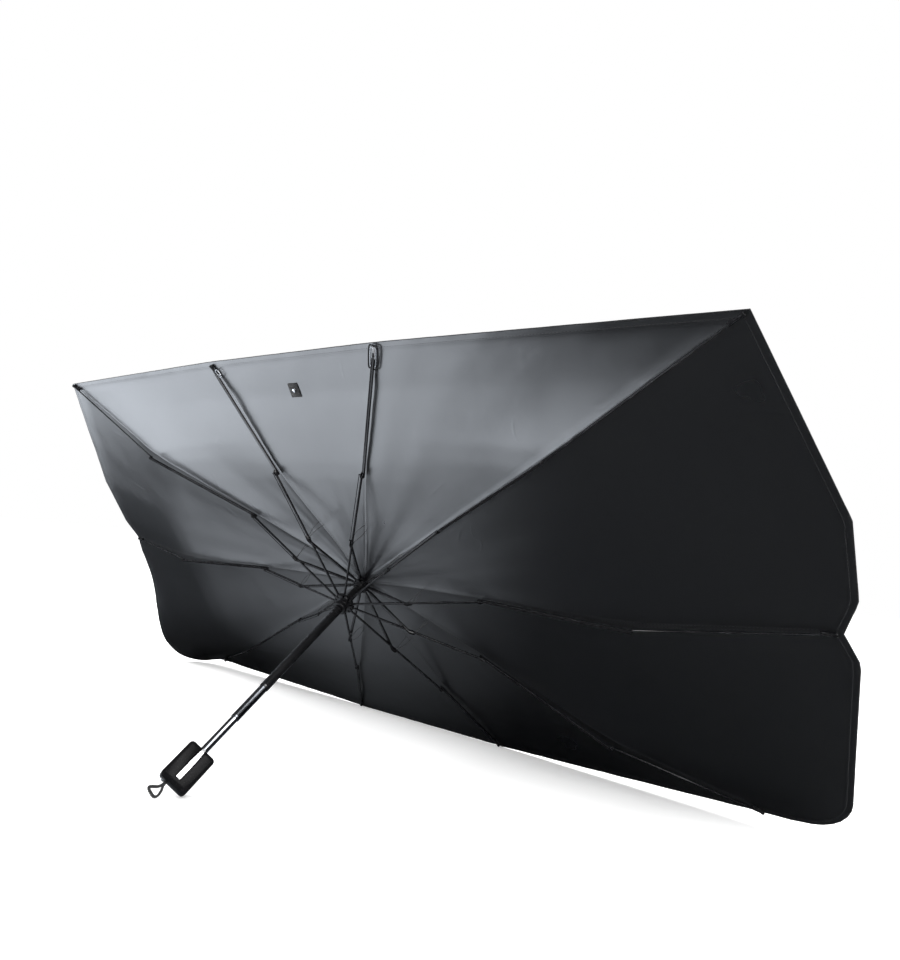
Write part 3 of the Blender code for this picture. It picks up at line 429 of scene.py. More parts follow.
# Pale grey worn edges on the black ribs: partly wear, partly painted highlight glints along the edges.
RIB_STEEL = hard_material(
    "black_painted_steel", (0.006, 0.006, 0.007), (0.28, 0.29, 0.31), 0.22, 0.0, wear=0.7,
    radius=0.45 * MM, shine=0.45)
TUBE_PAINT = hard_material(
    "black_painted_tube", (0.009, 0.009, 0.010), (0.10, 0.10, 0.10), 0.24, 0.3, wear=0.4,
    radius=0.3 * MM, coat=0.4)
DARK_CHROME = hard_material("dark_chrome", (0.20, 0.21, 0.23), (0.45, 0.45, 0.46), 0.20, 1.0, wear=0.3)
BRIGHT_CHROME = hard_material("bright_chrome", (0.66, 0.67, 0.69), (0.80, 0.80, 0.80), 0.14, 1.0, wear=0.2)
TUBE_CHROME = hard_material("smoked_chrome", (0.26, 0.27, 0.29), (0.50, 0.50, 0.51), 0.16, 1.0, wear=0.2)
SILVER_TRIM = hard_material("silver_trim", (0.84, 0.84, 0.85), (0.9, 0.9, 0.9), 0.24, 0.35, wear=0.2)
MOULDING = hard_material(
    "black_moulding", (0.006, 0.006, 0.007), (0.04, 0.04, 0.042), 0.32, 0.0, wear=0.5,
    radius=0.4 * MM, grain=0.05 * MM, shine=0.25)
HANDLE_PLASTIC = hard_material(
    "handle_moulding", (0.005, 0.005, 0.0055), (0.04, 0.04, 0.042), 0.30, 0.0, wear=0.4,
    radius=0.5 * MM, grain=0.04 * MM, shine=0.05)
CLEAR_TIP = hard_material("smoked_tip", (0.30, 0.31, 0.33), (0.6, 0.6, 0.6), 0.18, 0.2, wear=0.3, coat=0.5)

FINISH_OF_SLOT = {
    "black_rib_steel": RIB_STEEL, "black_tube": TUBE_PAINT, "dark_chrome": DARK_CHROME,
    "bright_chrome": BRIGHT_CHROME, "black_plastic": MOULDING, "handle_plastic": HANDLE_PLASTIC}


def new_piece(name, data):
    obj = bpy.data.objects.new(name, data)
    bpy.context.scene.collection.objects.link(obj)
    return obj


def baked(obj):
    """The object with its modifiers turned into its plain mesh."""
    graph = bpy.context.evaluated_depsgraph_get()
    mesh = bpy.data.meshes.new_from_object(
        obj.evaluated_get(graph), preserve_all_data_layers=True, depsgraph=graph)
    obj.modifiers.clear()
    obj.data = mesh
    return obj


def slot_of(node_name):
    """The record's material slot of a CAD node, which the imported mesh's material is named after."""
    return frame["nodes"][node_name].material_slots[0].material.name.split(".")[0]


def rounded_corner(before, corner, after, radius, steps):
    """Points of a round corner between two straight edges."""
    first = (Vector(before) - Vector(corner)).normalized()
    second = (Vector(after) - Vector(corner)).normalized()
    half_angle = first.angle(second) / 2
    tangent = radius / math.tan(half_angle)
    centre = Vector(corner) + (first + second).normalized() * (radius / math.sin(half_angle))
    start = Vector(corner) + first * tangent - centre
    end = Vector(corner) + second * tangent - centre
    turn = start.angle_signed(end)
    return [centre + Matrix.Rotation(-turn * step / steps, 2) @ start for step in range(steps + 1)]


def rim_of_gores():
    """The outline's stretch on each gore, as an array of points from arm to arm."""
    side = [Vector(UPPER_CORNER), Vector(SIDE_BULGE)]
    side += rounded_corner(SIDE_BULGE, SIDE_SHOULDER, SIDE_TIP, SHOULDER_R, 12)
    side += [Vector(SIDE_TIP)]
    lower = [Vector(SIDE_TIP)]
    lower += rounded_corner(SIDE_TIP, NOTCH_SHOULDER, LOWER_CORNER, SHOULDER_R, 12)
    lower += rounded_corner(NOTCH_SHOULDER, LOWER_CORNER, LOWER_CORNER_TIP, LOWER_CORNER_R, 16)
    lower += [Vector(LOWER_CORNER_TIP)]
    right = [
        [Vector(UPPER_TIP), Vector(UPPER_CORNER)], side, lower,
        [Vector(LOWER_CORNER_TIP), Vector(LOWER_TIP)]]
    left = [[Vector((-point.x, point.y)) for point in reversed(stretch)] for stretch in reversed(right)]
    bottom = [Vector(LOWER_TIP), Vector((-LOWER_TIP[0], LOWER_TIP[1]))]
    top = [Vector((-UPPER_TIP[0], UPPER_TIP[1])), Vector(UPPER_TIP)]
    return [slack_corner(np.array(stretch)) for stretch in right + [bottom] + left + [top]]


def slack_corner(stretch):
    """A stretch of rim with the lower left tip hanging a little out of its mirrored place."""
    far = np.hypot(stretch[:, 0] + LOWER_CORNER_TIP[0], stretch[:, 1] - LOWER_CORNER_TIP[1])
    return stretch + np.outer(1 - smooth_step(far, 0.0, SLACK_REACH), SLACK_SHIFT)


def along_rim(stretch, share):
    """Points at some shares of the way along a stretch of rim."""
    steps = np.linalg.norm(np.diff(stretch, axis=0), axis=1)
    gone = np.concatenate(([0.0], np.cumsum(steps))) / steps.sum()
    return np.stack([np.interp(share, gone, stretch[:, axis]) for axis in (0, 1)], axis=-1)


def smooth_noise(across, along, seed):
    """Smooth noise from -1 to 1 over two coordinates."""
    table = np.random.default_rng(seed).uniform(-1, 1, (NOISE_CELLS, NOISE_CELLS))
    low_u, low_v = np.floor(across).astype(int), np.floor(along).astype(int)
    part_u, part_v = across - low_u, along - low_v
    part_u = part_u * part_u * (3 - 2 * part_u)
    part_v = part_v * part_v * (3 - 2 * part_v)
    pairs = []
    for step in (0, 1):
        row = (low_v + step) % NOISE_CELLS
        near, far = table[low_u % NOISE_CELLS, row], table[(low_u + 1) % NOISE_CELLS, row]
        pairs.append(near * (1 - part_u) + far * part_u)
    return pairs[0] * (1 - part_v) + pairs[1] * part_v


def smooth_step(value, low, high):
    share = np.clip((value - low) / (high - low), 0, 1)
    return share * share * (3 - 2 * share)


def seam_lift(share, arm, reach):
    """How far an arm's ribs hold the seam over the straight line from the crown to the tip."""
    if ARM_ORDER[arm] in SHORT_ARMS:
        points, room = SHORT_ARM_LIFT, SHORT_ARM_LIFT_END
    else:
        points, room = LONG_ARM_LIFT, LONG_ARM_LIFT_END
    places, lifts = np.array(points + ((reach - room, 0.0), (reach, 0.0))).T
    radii = np.linspace(0, reach, LIFT_SAMPLES)
    drawn = np.maximum(np.interp(radii, places, lifts) - SEAM_ROOM, 0)
    window = np.hanning(EASED_SAMPLES)
    half = EASED_SAMPLES // 2
    padded = np.concatenate((-drawn[half:0:-1], drawn, -drawn[-2:-half - 2:-1]))
    eased = np.convolve(padded, window / window.sum(), mode="valid")
    return np.interp(share * reach, radii, eased)


def gore_depth(share, across, gore, reaches):
    """Depth of one gore's cloth: share is the way out to the rim, across the way over the gore."""
    depth = CLOTH_TOP_Z + (CLOTH_RIM_Z - CLOTH_TOP_Z) * share
    depth = depth - BILLOW * np.sin(math.pi * across) * np.sin(math.pi * share)
    after = (gore + 1) % len(ARM_ORDER)
    first_lift = seam_lift(share, gore, reaches[gore])
    second_lift = seam_lift(share, after, reaches[after])
    lift = (1 - across) * first_lift + across * second_lift
    depth = depth + lift * (1 - LIFT_SLACK * np.sin(math.pi * across))
    down_side = 1 - across if gore == LEFT_CORNER_GORE else across
    curl = CORNER_CURLS.get(gore, 0.0) * np.sin(math.pi * down_side ** CURL_LEAN) ** 2
    return depth + curl * share ** CURL_RISE


def cloth_relief(x, y, seam, rim):
    """Rise of seams, hem, puckers and wrinkles above the plain sheet."""
    radius = np.hypot(x, y)
    turn = np.arctan2(y, x) / (2 * math.pi) * NOISE_CELLS
    rise = SEAM_RISE * (1 - smooth_step(seam, SEAM_HALF_WIDTH - 0.6 * MM, SEAM_HALF_WIDTH + 0.6 * MM))
    rise *= smooth_step(radius, 12 * MM, 20 * MM)
    rise += HEM_RISE * (1 - smooth_step(rim, HEM_WIDTH - 0.5 * MM, HEM_WIDTH + 0.5 * MM))
    near_hub = np.exp(-np.maximum(radius - 14 * MM, 0) / (20 * MM)) * smooth_step(radius, 7 * MM, 14 * MM)
    rise += 1.5 * MM * near_hub * smooth_noise(turn, radius / (40 * MM), 3)
    by_seam = np.exp(-seam / (9 * MM)) * smooth_step(radius, 30 * MM, 60 * MM)
    rise += 0.30 * MM * by_seam * smooth_noise(radius / (11 * MM), turn / 8, 5)
    by_rim = np.exp(-rim / (16 * MM))
    rise += 0.55 * MM * by_rim * smooth_noise(x / (19 * MM), y / (19 * MM), 7)
    off_hub = smooth_step(radius, 20 * MM, 90 * MM)
    rise += 0.45 * MM * off_hub * smooth_noise(turn, radius / (150 * MM), 11)
    return rise + 0.25 * MM * smooth_noise(x / (45 * MM), y / (45 * MM), 13)


def share_across(out, length):
    """Way over a gore of each grid place: columns close to both seams, then evenly spaced ones."""
    half = HALF_GORE_COLUMNS
    across = np.zeros(out.shape)
    for column in range(2 * half):
        step = min(column, 2 * half - column)
        width = np.maximum(length * out[:, column], 1 * MM)
        close = [
            np.minimum(offset / width, 0.5 * (rank + 1) / half) for rank, offset in enumerate(SEAM_COLUMNS)]
        if step == 0:
            place = np.zeros(out.shape[0])
        elif step <= len(close):
            place = close[step - 1]
        else:
            place = close[-1] + (0.5 - close[-1]) * (step - len(close)) / (half - len(close))
        across[:, column] = place if column <= half else 1 - place
    return across


def seam_distance(x, y, stretches):
    """Distance of places on the sheet from the seam nearest to them."""
    seam = np.full(x.shape, 1.0)
    for stretch in stretches:
        arm = stretch[0] / np.linalg.norm(stretch[0])
        ahead = x * arm[0] + y * arm[1] > 0
        seam = np.where(ahead, np.minimum(seam, np.abs(x * arm[1] - y * arm[0])), seam)
    return seam


def build_sheet():
    """The whole cloth as one closed grid: its places and normals."""
    stretches = rim_of_gores()
    half = HALF_GORE_COLUMNS
    nominal = np.concatenate([along_rim(stretch, np.arange(2 * half) / (2 * half)) for stretch in stretches])
    outward = nominal / np.linalg.norm(nominal, axis=1, keepdims=True)
    along = np.roll(nominal, -1, axis=0) - np.roll(nominal, 1, axis=0)
    along /= np.linalg.norm(along, axis=1, keepdims=True)
    slant = np.abs(outward[:, 0] * along[:, 1] - outward[:, 1] * along[:, 0])
    reach = (np.linalg.norm(nominal, axis=1) - CLOTH_HOLE_R) * slant
    plain = (np.linspace(0, 1, ROWS) ** ROW_CROWDING)[:-1, None] * (1 - HEM_ROWS[0] / reach)
    hem = 1 - np.array(HEM_ROWS)[:, None] / reach
    share = np.concatenate([plain, hem])
    rim = (1 - share) * reach
    places = np.zeros((*share.shape, 2))
    depth = np.zeros(share.shape)
    reaches = [float(np.linalg.norm(stretch[0])) for stretch in stretches]
    for gore, stretch in enumerate(stretches):
        columns = slice(2 * half * gore, 2 * half * (gore + 1))
        out = share[:, columns]
        length = np.linalg.norm(np.diff(stretch, axis=0), axis=1).sum()
        across = share_across(out, length)
        edge = along_rim(stretch, across)
        start = edge / np.linalg.norm(edge, axis=-1, keepdims=True) * CLOTH_HOLE_R
        places[:, columns] = start + (edge - start) * out[..., None]
        depth[:, columns] = gore_depth(out, across, gore, reaches)
    x, y = places[..., 0], places[..., 1]
    depth = depth + cloth_relief(x, y, seam_distance(x, y, stretches), rim)
    points = np.stack([x, y, depth], axis=-1)
    out_run = np.gradient(points, axis=0)
    round_run = np.roll(points, -1, axis=1) - np.roll(points, 1, axis=1)
    normals = np.cross(round_run, out_run)
    normals /= np.linalg.norm(normals, axis=-1, keepdims=True)
    normals *= np.where(normals[..., 2:] < 0, -1, 1)
    return points, normals


POINTS, NORMALS = build_sheet()


def sewing_tree():
    """Geometry nodes that lay stitches along a sheet's marked lines and draw its loose ties."""
    tree, given, made = new_group("sewing", "GeometryNodeTree", [
        ("Cloth", "Geometry", None), ("Stitch Spacing", "Float", STITCH_SPACING),
        ("Stitch Length", "Float", STITCH_LENGTH), ("Stitch Width", "Float", STITCH_WIDTH),
        ("Tie Radius", "Float", TIE_R), ("Thread", "Material", None)],
        [("Geometry", "Geometry")])
    marks = [
        node(tree, "GeometryNodeInputNamedAttribute", {"Name": label}, data_type="BOOLEAN")
        for label in ("stitch_line", "tie_line")]
    stitch_mark, tie_mark = (mark.outputs["Attribute"] for mark in marks)
    sheet = node(tree, "GeometryNodeDeleteGeometry", {
        "Geometry": given["Cloth"], "Selection": tie_mark}, domain="POINT")
    lines = node(tree, "GeometryNodeMeshToCurve", {"Mesh": given["Cloth"], "Selection": stitch_mark})
    points = node(tree, "GeometryNodeCurveToPoints", {
        "Curve": lines.outputs[0], "Length": given["Stitch Spacing"]}, mode="LENGTH")
    turn = node(tree, "FunctionNodeAlignRotationToVector", {"Vector": points.outputs["Tangent"]}, axis="Z")
    stitch = node(tree, "GeometryNodeMeshIcoSphere", {"Radius": 0.5, "Subdivisions": 1})
    shape = node(tree, "ShaderNodeCombineXYZ", {
        "X": given["Stitch Width"], "Y": given["Stitch Width"], "Z": given["Stitch Length"]})
    row = node(tree, "GeometryNodeInstanceOnPoints", {
        "Points": points.outputs["Points"], "Instance": stitch.outputs[0],
        "Rotation": turn.outputs[0], "Scale": shape.outputs[0]})
    tie_lines = node(tree, "GeometryNodeMeshToCurve", {"Mesh": given["Cloth"], "Selection": tie_mark})
    round_thread = node(tree, "GeometryNodeCurvePrimitiveCircle", {
        "Resolution": 6, "Radius": given["Tie Radius"]})
    ties = node(tree, "GeometryNodeCurveToMesh", {
        "Curve": tie_lines.outputs[0], "Profile Curve": round_thread.outputs[0], "Fill Caps": True})
    threads = node(tree, "GeometryNodeJoinGeometry")
    tree.links.new(ties.outputs[0], threads.inputs[0])
    tree.links.new(row.outputs[0], threads.inputs[0])
    real = node(tree, "GeometryNodeRealizeInstances", {0: threads.outputs[0]})
    dyed = node(tree, "GeometryNodeSetMaterial", {"Geometry": real.outputs[0], "Material": given["Thread"]})
    whole = node(tree, "GeometryNodeJoinGeometry")
    tree.links.new(dyed.outputs[0], whole.inputs[0])
    tree.links.new(sheet.outputs[0], whole.inputs[0])
    tree.links.new(whole.outputs[0], made["Geometry"])
    return tree


def set_inputs(modifier, **values):
    """Values on a Geometry Nodes modifier's inputs, found by their names."""
    for item in modifier.node_group.interface.items_tree:
        if item.item_type == "SOCKET" and item.in_out == "INPUT" and item.name in values:
            modifier[item.identifier] = values[item.name]


SEWING = sewing_tree()


def strip_columns(arm):
    """Grid columns of an arm's cloth, from the middle of one gore to the middle of the next."""
    steps = np.arange(-HALF_GORE_COLUMNS, HALF_GORE_COLUMNS + 1)
    return steps, (2 * HALF_GORE_COLUMNS * arm + steps) % POINTS.shape[1]


def strip_mesh(name, arm, first_row, last_row, ties=()):
    """A closed thin piece of the sheet, with its stitch lines and ties marked."""
    steps, columns = strip_columns(arm)
    rows = np.arange(first_row, last_row + 1)
    top = POINTS[np.ix_(rows, columns)]
    normal = NORMALS[np.ix_(rows, columns)]
    bottom = top - np.array((0, 0, CLOTH))
    count_r, count_c = top.shape[:2]
    size = count_r * count_c
    index = np.arange(size).reshape(count_r, count_c)
    quads = np.stack([index[:-1, 1:], index[1:, 1:], index[1:, :-1], index[:-1, :-1]], axis=-1).reshape(-1, 4)
    loop = np.concatenate([index[0, :], index[1:, -1], index[-1, -2::-1], index[-2:0:-1, 0]])
    after = np.roll(loop, -1)
    walls = np.stack([loop, after, after + size, loop + size], axis=-1)
    faces = np.concatenate([quads, quads[:, ::-1] + size, walls])
    points = np.concatenate([top.reshape(-1, 3), bottom.reshape(-1, 3)])
    tie_points = np.array([point for tie in ties for point in tie]).reshape(-1, 3)
    edges = []
    for tie_start, tie in zip(np.cumsum([2 * size] + [len(tie) for tie in ties]), ties):
        edges += [(tie_start + step, tie_start + step + 1) for step in range(len(tie) - 1)]
    mesh = bpy.data.meshes.new(name)
    mesh.from_pydata(np.concatenate([points, tie_points]).tolist(), edges, faces.tolist())
    marked = np.zeros((count_r, count_c), bool)
    marked[:, np.abs(steps) == STITCH_COLUMN] = True
    hem_row = POINTS.shape[0] - len(HEM_ROWS) + HEM_STITCH_ROW
    marked[rows == hem_row, :] = True
    marked[rows > hem_row, :] = False
    total = len(mesh.vertices)
    stitch_line = np.zeros(total, bool)
    stitch_line[:size] = marked.reshape(-1)
    tie_line = np.zeros(total, bool)
    tie_line[2 * size:] = True
    sheet_normal = np.zeros((total, 3))
    sheet_normal[:size] = normal.reshape(-1, 3)
    sheet_normal[size:2 * size] = -normal.reshape(-1, 3)
    for label, kind, values, key in (
            ("stitch_line", "BOOLEAN", stitch_line, "value"), ("tie_line", "BOOLEAN", tie_line, "value"),
            ("sheet_normal", "FLOAT_VECTOR", sheet_normal, "vector")):
        mesh.attributes.new(label, kind, "POINT").data.foreach_set(key, values.reshape(-1))
    for material in (INSIDE_CLOTH, OUTSIDE_CLOTH, WEBBING):
        mesh.materials.append(material)
    bound = np.repeat(rows[:-1] >= POINTS.shape[0] - BINDING_ROWS, count_c - 1)
    looks = np.where(bound, 2, 0)
    looks = np.concatenate([looks, np.where(bound, 2, 1), np.full(len(walls), 2)]).astype(np.int32)
    mesh.polygons.foreach_set("material_index", looks)
    smooth = np.ones(len(faces), bool)
    smooth[2 * len(quads):] = False
    mesh.polygons.foreach_set("use_smooth", smooth)
    mesh.transform(SHADE)
    return mesh


def smooth_as_whole(obj):
    """Normals of the whole sheet on a piece of it, so that pieces meet without a line."""
    mesh = obj.data
    count = len(mesh.vertices)
    stored = np.zeros(count * 3)
    mesh.attributes["sheet_normal"].data.foreach_get("vector", stored)
    stored = stored.reshape(-1, 3) @ np.array(SHADE_TURN.transposed())
    corner_vertex = np.zeros(len(mesh.loops), np.int32)
    mesh.loops.foreach_get("vertex_index", corner_vertex)
    smooth = np.zeros(len(mesh.polygons), bool)
    mesh.polygons.foreach_get("use_smooth", smooth)
    totals = np.zeros(len(mesh.polygons), np.int32)
    mesh.polygons.foreach_get("loop_total", totals)
    face_of_corner = np.repeat(np.arange(len(mesh.polygons)), totals)
    normals = stored[corner_vertex]
    normals[~smooth[face_of_corner]] = 0
    mesh.normals_split_custom_set(normals.tolist())
    for label in ("sheet_normal", "stitch_line", "tie_line"):
        mesh.attributes.remove(mesh.attributes[label])


def arm_direction(arm):
    """Unit vector from the crown along an arm, in the shade's frame."""
    tip = POINTS[-1, 2 * HALF_GORE_COLUMNS * arm]
    return Vector((tip[0], tip[1], 0)).normalized()


def rivet_radius(node_name, arm):
    """How far out, along an arm, the end of a CAD node lies."""
    out = arm_direction(arm)
    inverse = SHADE.inverted()
    return max((inverse @ vertex.co).dot(out) for vertex in frame["nodes"][node_name].data.vertices)


def row_at(arm, radius):
    """The grid row whose seam point is nearest to a radius."""
    seam = POINTS[:, 2 * HALF_GORE_COLUMNS * arm]
    return int(np.argmin(np.abs(np.hypot(seam[:, 0], seam[:, 1]) - radius)))


def knee_ties(arm, row):
    """Two short threads from an arm's knee to the seam over it."""
    out = np.array(arm_direction(arm))
    side = np.array((-out[1], out[0], 0))
    seam = POINTS[row, 2 * HALF_GORE_COLUMNS * arm]
    knee = np.array((out[0], out[1], 0)) * (np.hypot(seam[0], seam[1]) - 4 * MM) + np.array((0, 0, KNEE_Z))
    ties = []
    for offset in (-1, 1):
        foot = seam + side * offset * 2.0 * MM + out * offset * 4 * MM
        head = knee + side * offset * 2.3 * MM
        steps = np.linspace(0, 1, 6)[:, None]
        slack = np.sin(math.pi * steps) * (side * offset * 2.5 * MM + out * 1.5 * MM)
        ties.append(head + (foot - head) * steps + slack)
    return ties


def fold_with_strip(piece, name, rib):
    """Let a piece ride on a rib, with a mesh of its own."""
    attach(piece, name + "_" + rib)
    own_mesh(piece)


def build_cloth():
    """The canopy in pieces that ride on the arms' ribs."""
    last = POINTS.shape[0] - 1
    for arm, name in enumerate(ARM_ORDER):
        outer = "outer_rib" if name in SHORT_ARMS else "middle_rib"
        knee = row_at(arm, rivet_radius(name + "_top_rib", arm))
        elbow = row_at(arm, rivet_radius(name + "_stretcher", arm))
        spans = [("top_rib", 0, knee), ("stretcher", knee, elbow)]
        if name in SHORT_ARMS:
            spans.append((outer, elbow, last))
        else:
            rivet = row_at(arm, rivet_radius(name + "_middle_rib", arm))
            spans += [(outer, elbow, rivet), ("end_rib", rivet, last)]
        for rib, first, end in spans:
            ties = knee_ties(arm, knee) if rib == "top_rib" else ()
            mesh = strip_mesh("cloth_" + name + "_" + rib, arm, first, end, ties)
            piece = new_piece(mesh.name, mesh)
            sewing = piece.modifiers.new("sewing", "NODES")
            sewing.node_group = SEWING
            set_inputs(sewing, Thread=THREAD)
            baked(piece)
            smooth_as_whole(piece)
            fold_with_strip(piece, name, rib)
            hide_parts("canopy")
            declare_cloth(arm, first, end)


def declare_cloth(arm, first, end):
    """Work out the flat width, length and area that a strip was cut to; none of them is kept."""
    _steps, columns = strip_columns(arm)
    grid = POINTS[first:end + 1][:, columns]
    down = np.linalg.norm(np.diff(grid, axis=0), axis=-1)
    wide = np.linalg.norm(np.diff(grid, axis=1), axis=-1)
    width = wide.sum(axis=1).max()
    length = down.sum(axis=0).max()
    area = 0.0
    for row in range(grid.shape[0] - 1):
        across = (wide[row] + wide[row + 1]) / 2
        outward = (down[row, :-1] + down[row, 1:]) / 2
        area += float((across * outward).sum())
    area = min(area, width * length)


def eased_copy(node_name, ease):
    """A welded copy with eased edges and smooth round faces, which stands for a CAD node."""
    bm = bmesh.new()
    bm.from_mesh(frame["nodes"][node_name].data)
    bmesh.ops.remove_doubles(bm, verts=bm.verts, dist=0.005 * MM)
    bmesh.ops.dissolve_limit(bm, angle_limit=math.radians(0.5), verts=bm.verts, edges=bm.edges)
    mesh = bpy.data.meshes.new(node_name + "_finished")
    bm.to_mesh(mesh)
    bm.free()
    mesh.shade_smooth()
    piece = new_piece(mesh.name, mesh)
    bevel = piece.modifiers.new("eased", "BEVEL")
    bevel.width = ease
    bevel.segments = 2 if ease > 0.2 * MM else 1
    bevel.limit_method = "ANGLE"
    bevel.angle_limit = SHARP_ANGLE
    bevel.harden_normals = True
    baked(piece)
    piece.data.set_sharp_from_angle(angle=SHARP_ANGLE)
    piece.data.materials.clear()
    piece.data.materials.append(WEBBING if node_name == "closing_tab" else FINISH_OF_SLOT[slot_of(node_name)])
    stands_for(piece, node_name)
    return piece


def stands_for(piece, node_name):
    """Let a piece ride on a node's body and take that node's place."""
    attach(piece, frame["nodes"][node_name]["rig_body"])
    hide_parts(node_name)


def seat_on_cloth(piece, underside):
    """Move a small flat piece so that its underside lies on the drawn cloth, tilted as the cloth is."""
    inverse = SHADE.inverted()
    places = [inverse @ vertex.co for vertex in piece.data.vertices]
    middle = sum(places, Vector()) / len(places)
    cloth = POINTS.reshape(-1, 3)
    near = cloth[np.hypot(cloth[:, 0] - middle.x, cloth[:, 1] - middle.y) < TAB_SEAT_R]
    terms = np.column_stack((near[:, :2], np.ones(len(near))))
    plane = np.linalg.lstsq(terms, near[:, 2], rcond=None)[0]
    for vertex, place in zip(piece.data.vertices, places):
        drawn = plane[0] * place.x + plane[1] * place.y + plane[2]
        vertex.co = SHADE @ (place + Vector((0, 0, drawn - underside)))


def finish_cad_nodes():
    """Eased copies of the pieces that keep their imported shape."""
    for node_name in frame["nodes"]:
        if node_name in REBUILT_NODES:
            continue
        round_wire = node_name.endswith(("_link_wire", "_end_rib"))
        piece = eased_copy(node_name, WIRE_EASE if round_wire else NODE_EASE.get(node_name, PLAIN_EASE))
        if node_name in ("closing_tab", "snap"):
            seat_on_cloth(piece, TAB_UNDERSIDE_Z)
            fold_with_strip(piece, TAB_ARM, "outer_rib")


def smooth_mesh(bm, name, matrix, material):
    """The mesh of some modelled faces, put in place, smooth between its sharp edges."""
    bmesh.ops.recalc_face_normals(bm, faces=bm.faces)
    mesh = bpy.data.meshes.new(name)
    bm.to_mesh(mesh)
    bm.free()
    mesh.shade_smooth()
    mesh.set_sharp_from_angle(angle=SHARP_ANGLE)
    mesh.materials.append(material)
    mesh.transform(matrix)
    return mesh


def turned_mesh(name, profile, sides, matrix, material):
    """A closed turned mesh from a ring of (radius, height) points."""
    bm = bmesh.new()
    points = [bm.verts.new((radius, 0, height)) for radius, height in profile]
    ring = [bm.edges.new((point, after)) for point, after in zip(points, points[1:] + points[:1])]
    bmesh.ops.spin(
        bm, geom=points + ring, cent=(0, 0, 0), axis=(0, 0, 1), angle=2 * math.pi, steps=sides,
        use_merge=True)
    bmesh.ops.remove_doubles(bm, verts=bm.verts, dist=0.001 * MM)
    return smooth_mesh(bm, name, matrix, material)


def rounded_end(radius, bore, end, way):
    """Profile points round a tube's rolled end, from its outside to its bore."""
    lip = (radius - bore) / 2
    points = []
    for step in range(7):
        angle = math.pi * step / 6
        points.append((radius - lip + lip * math.cos(angle), end - way * (lip - lip * math.sin(angle))))
    return points


def build_tubes():
    """The shaft's three tubes, finely turned and with rolled ends."""
    for node_name, radius, top, end in TUBES:
        bore = radius - TUBE_WALL
        bead = [(radius, end - 3.4 * MM), (radius + TUBE_BEAD, end - 2.7 * MM), (radius, end - 2.0 * MM)]
        profile = rounded_end(bore, radius, top, -1) + (bead if node_name != "inner_tube" else [])
        profile += rounded_end(radius, bore, end, 1)
        finish = TUBE_CHROME if node_name == "inner_tube" else FINISH_OF_SLOT[slot_of(node_name)]
        mesh = turned_mesh(node_name, profile, TUBE_SIDES, SHADE, finish)
        stands_for(new_piece(node_name + "_turned", mesh), node_name)


def swept_mesh(name, path, outline, widths, matrix, material, closed=False):
    """A closed band: an outline across the path, scaled sideways by a width at each point.

    The path lies in the X and Z plane of its own frame; the outline is (along Y, away from the path).
    """
    bm = bmesh.new()
    rings = []
    count = len(path)
    for place, point in enumerate(path):
        before = path[place - 1] if closed or place else point
        after = path[(place + 1) % count] if closed or place < count - 1 else point
        run = (Vector(after) - Vector(before)).normalized()
        away = Vector((run.y, -run.x))
        ring = []
        for across, rise in outline:
            spot = Vector(point) + away * rise
            ring.append(bm.verts.new((spot.x, across * widths[place], spot.y)))
        rings.append(ring)
    pairs = list(zip(rings, rings[1:] + rings[:1] if closed else rings[1:]))
    for first, second in pairs:
        for step in range(len(outline)):
            other = (step + 1) % len(outline)
            bm.faces.new((first[step], first[other], second[other], second[step]))
    if not closed:
        bm.faces.new(rings[0])
        bm.faces.new(rings[-1])
    return smooth_mesh(bm, name, matrix, material)


def smooth_path(corners, steps, closed=False):
    """Points of a Catmull-Rom curve through some corners."""
    points = []
    count = len(corners)
    spans = count if closed else count - 1
    for span in range(spans):
        four = [corners[(span + shift) % count] if closed else corners[min(max(span + shift, 0), count - 1)]
                for shift in (-1, 0, 1, 2)]
        a, b, c, d = (Vector(corner) for corner in four)
        for step in range(steps):
            t = step / steps
            bend = (2 * a - 5 * b + 4 * c - d) * t * t + (3 * b - a - 3 * c + d) * t ** 3
            points.append(tuple(0.5 * (2 * b + (c - a) * t + bend)))
    if not closed:
        points.append(tuple(corners[-1]))
    return points


HANDLE_FRAME = SHADE @ Matrix.Translation((0, 0, HANDLE_TOP)) @ Matrix.Rotation(HANDLE_TURN, 4, "Z")


def build_inlay():
    """Bright strip on the handle: a pointed nose from the tube, over the shoulder and down the face."""
    half_d = HANDLE_DEPTH / 2
    shoulder = half_d - HANDLE_ROUND
    path = [(TUBES[1][1] + 0.6 * MM, 0.0)]
    for step in range(9):
        angle = math.radians(90 * step / 8)
        path.append((shoulder + HANDLE_ROUND * math.sin(angle), HANDLE_ROUND * (1 - math.cos(angle))))
    path += [(half_d, 9 * MM), (half_d, 12 * MM)]
    path += [(half_d, (12 + 6 * step) * MM) for step in range(1, 6)] + [(half_d, INLAY_END)]
    widths = []
    for x, z in path:
        widths.append(INLAY_WIDTH / 2 * (0.62 + 0.38 * float(smooth_step(z, 0.0, 20 * MM))))
    outline = [
        (-1.0, -0.8 * MM), (-1.0, 0.25 * MM), (-0.86, 0.62 * MM), (-0.45, 0.68 * MM), (-0.3, 0.30 * MM),
        (0.0, 0.26 * MM)]
    outline += [(-across, rise) for across, rise in reversed(outline[:-1])]
    turn = HANDLE_FRAME @ Matrix.Rotation(math.radians(90), 4, "Z")
    mesh = swept_mesh("handle_inlay_bent", path, [(a, -r) for a, r in outline], widths, turn, SILVER_TRIM)
    stands_for(new_piece("handle_inlay_bent", mesh), "handle_inlay")


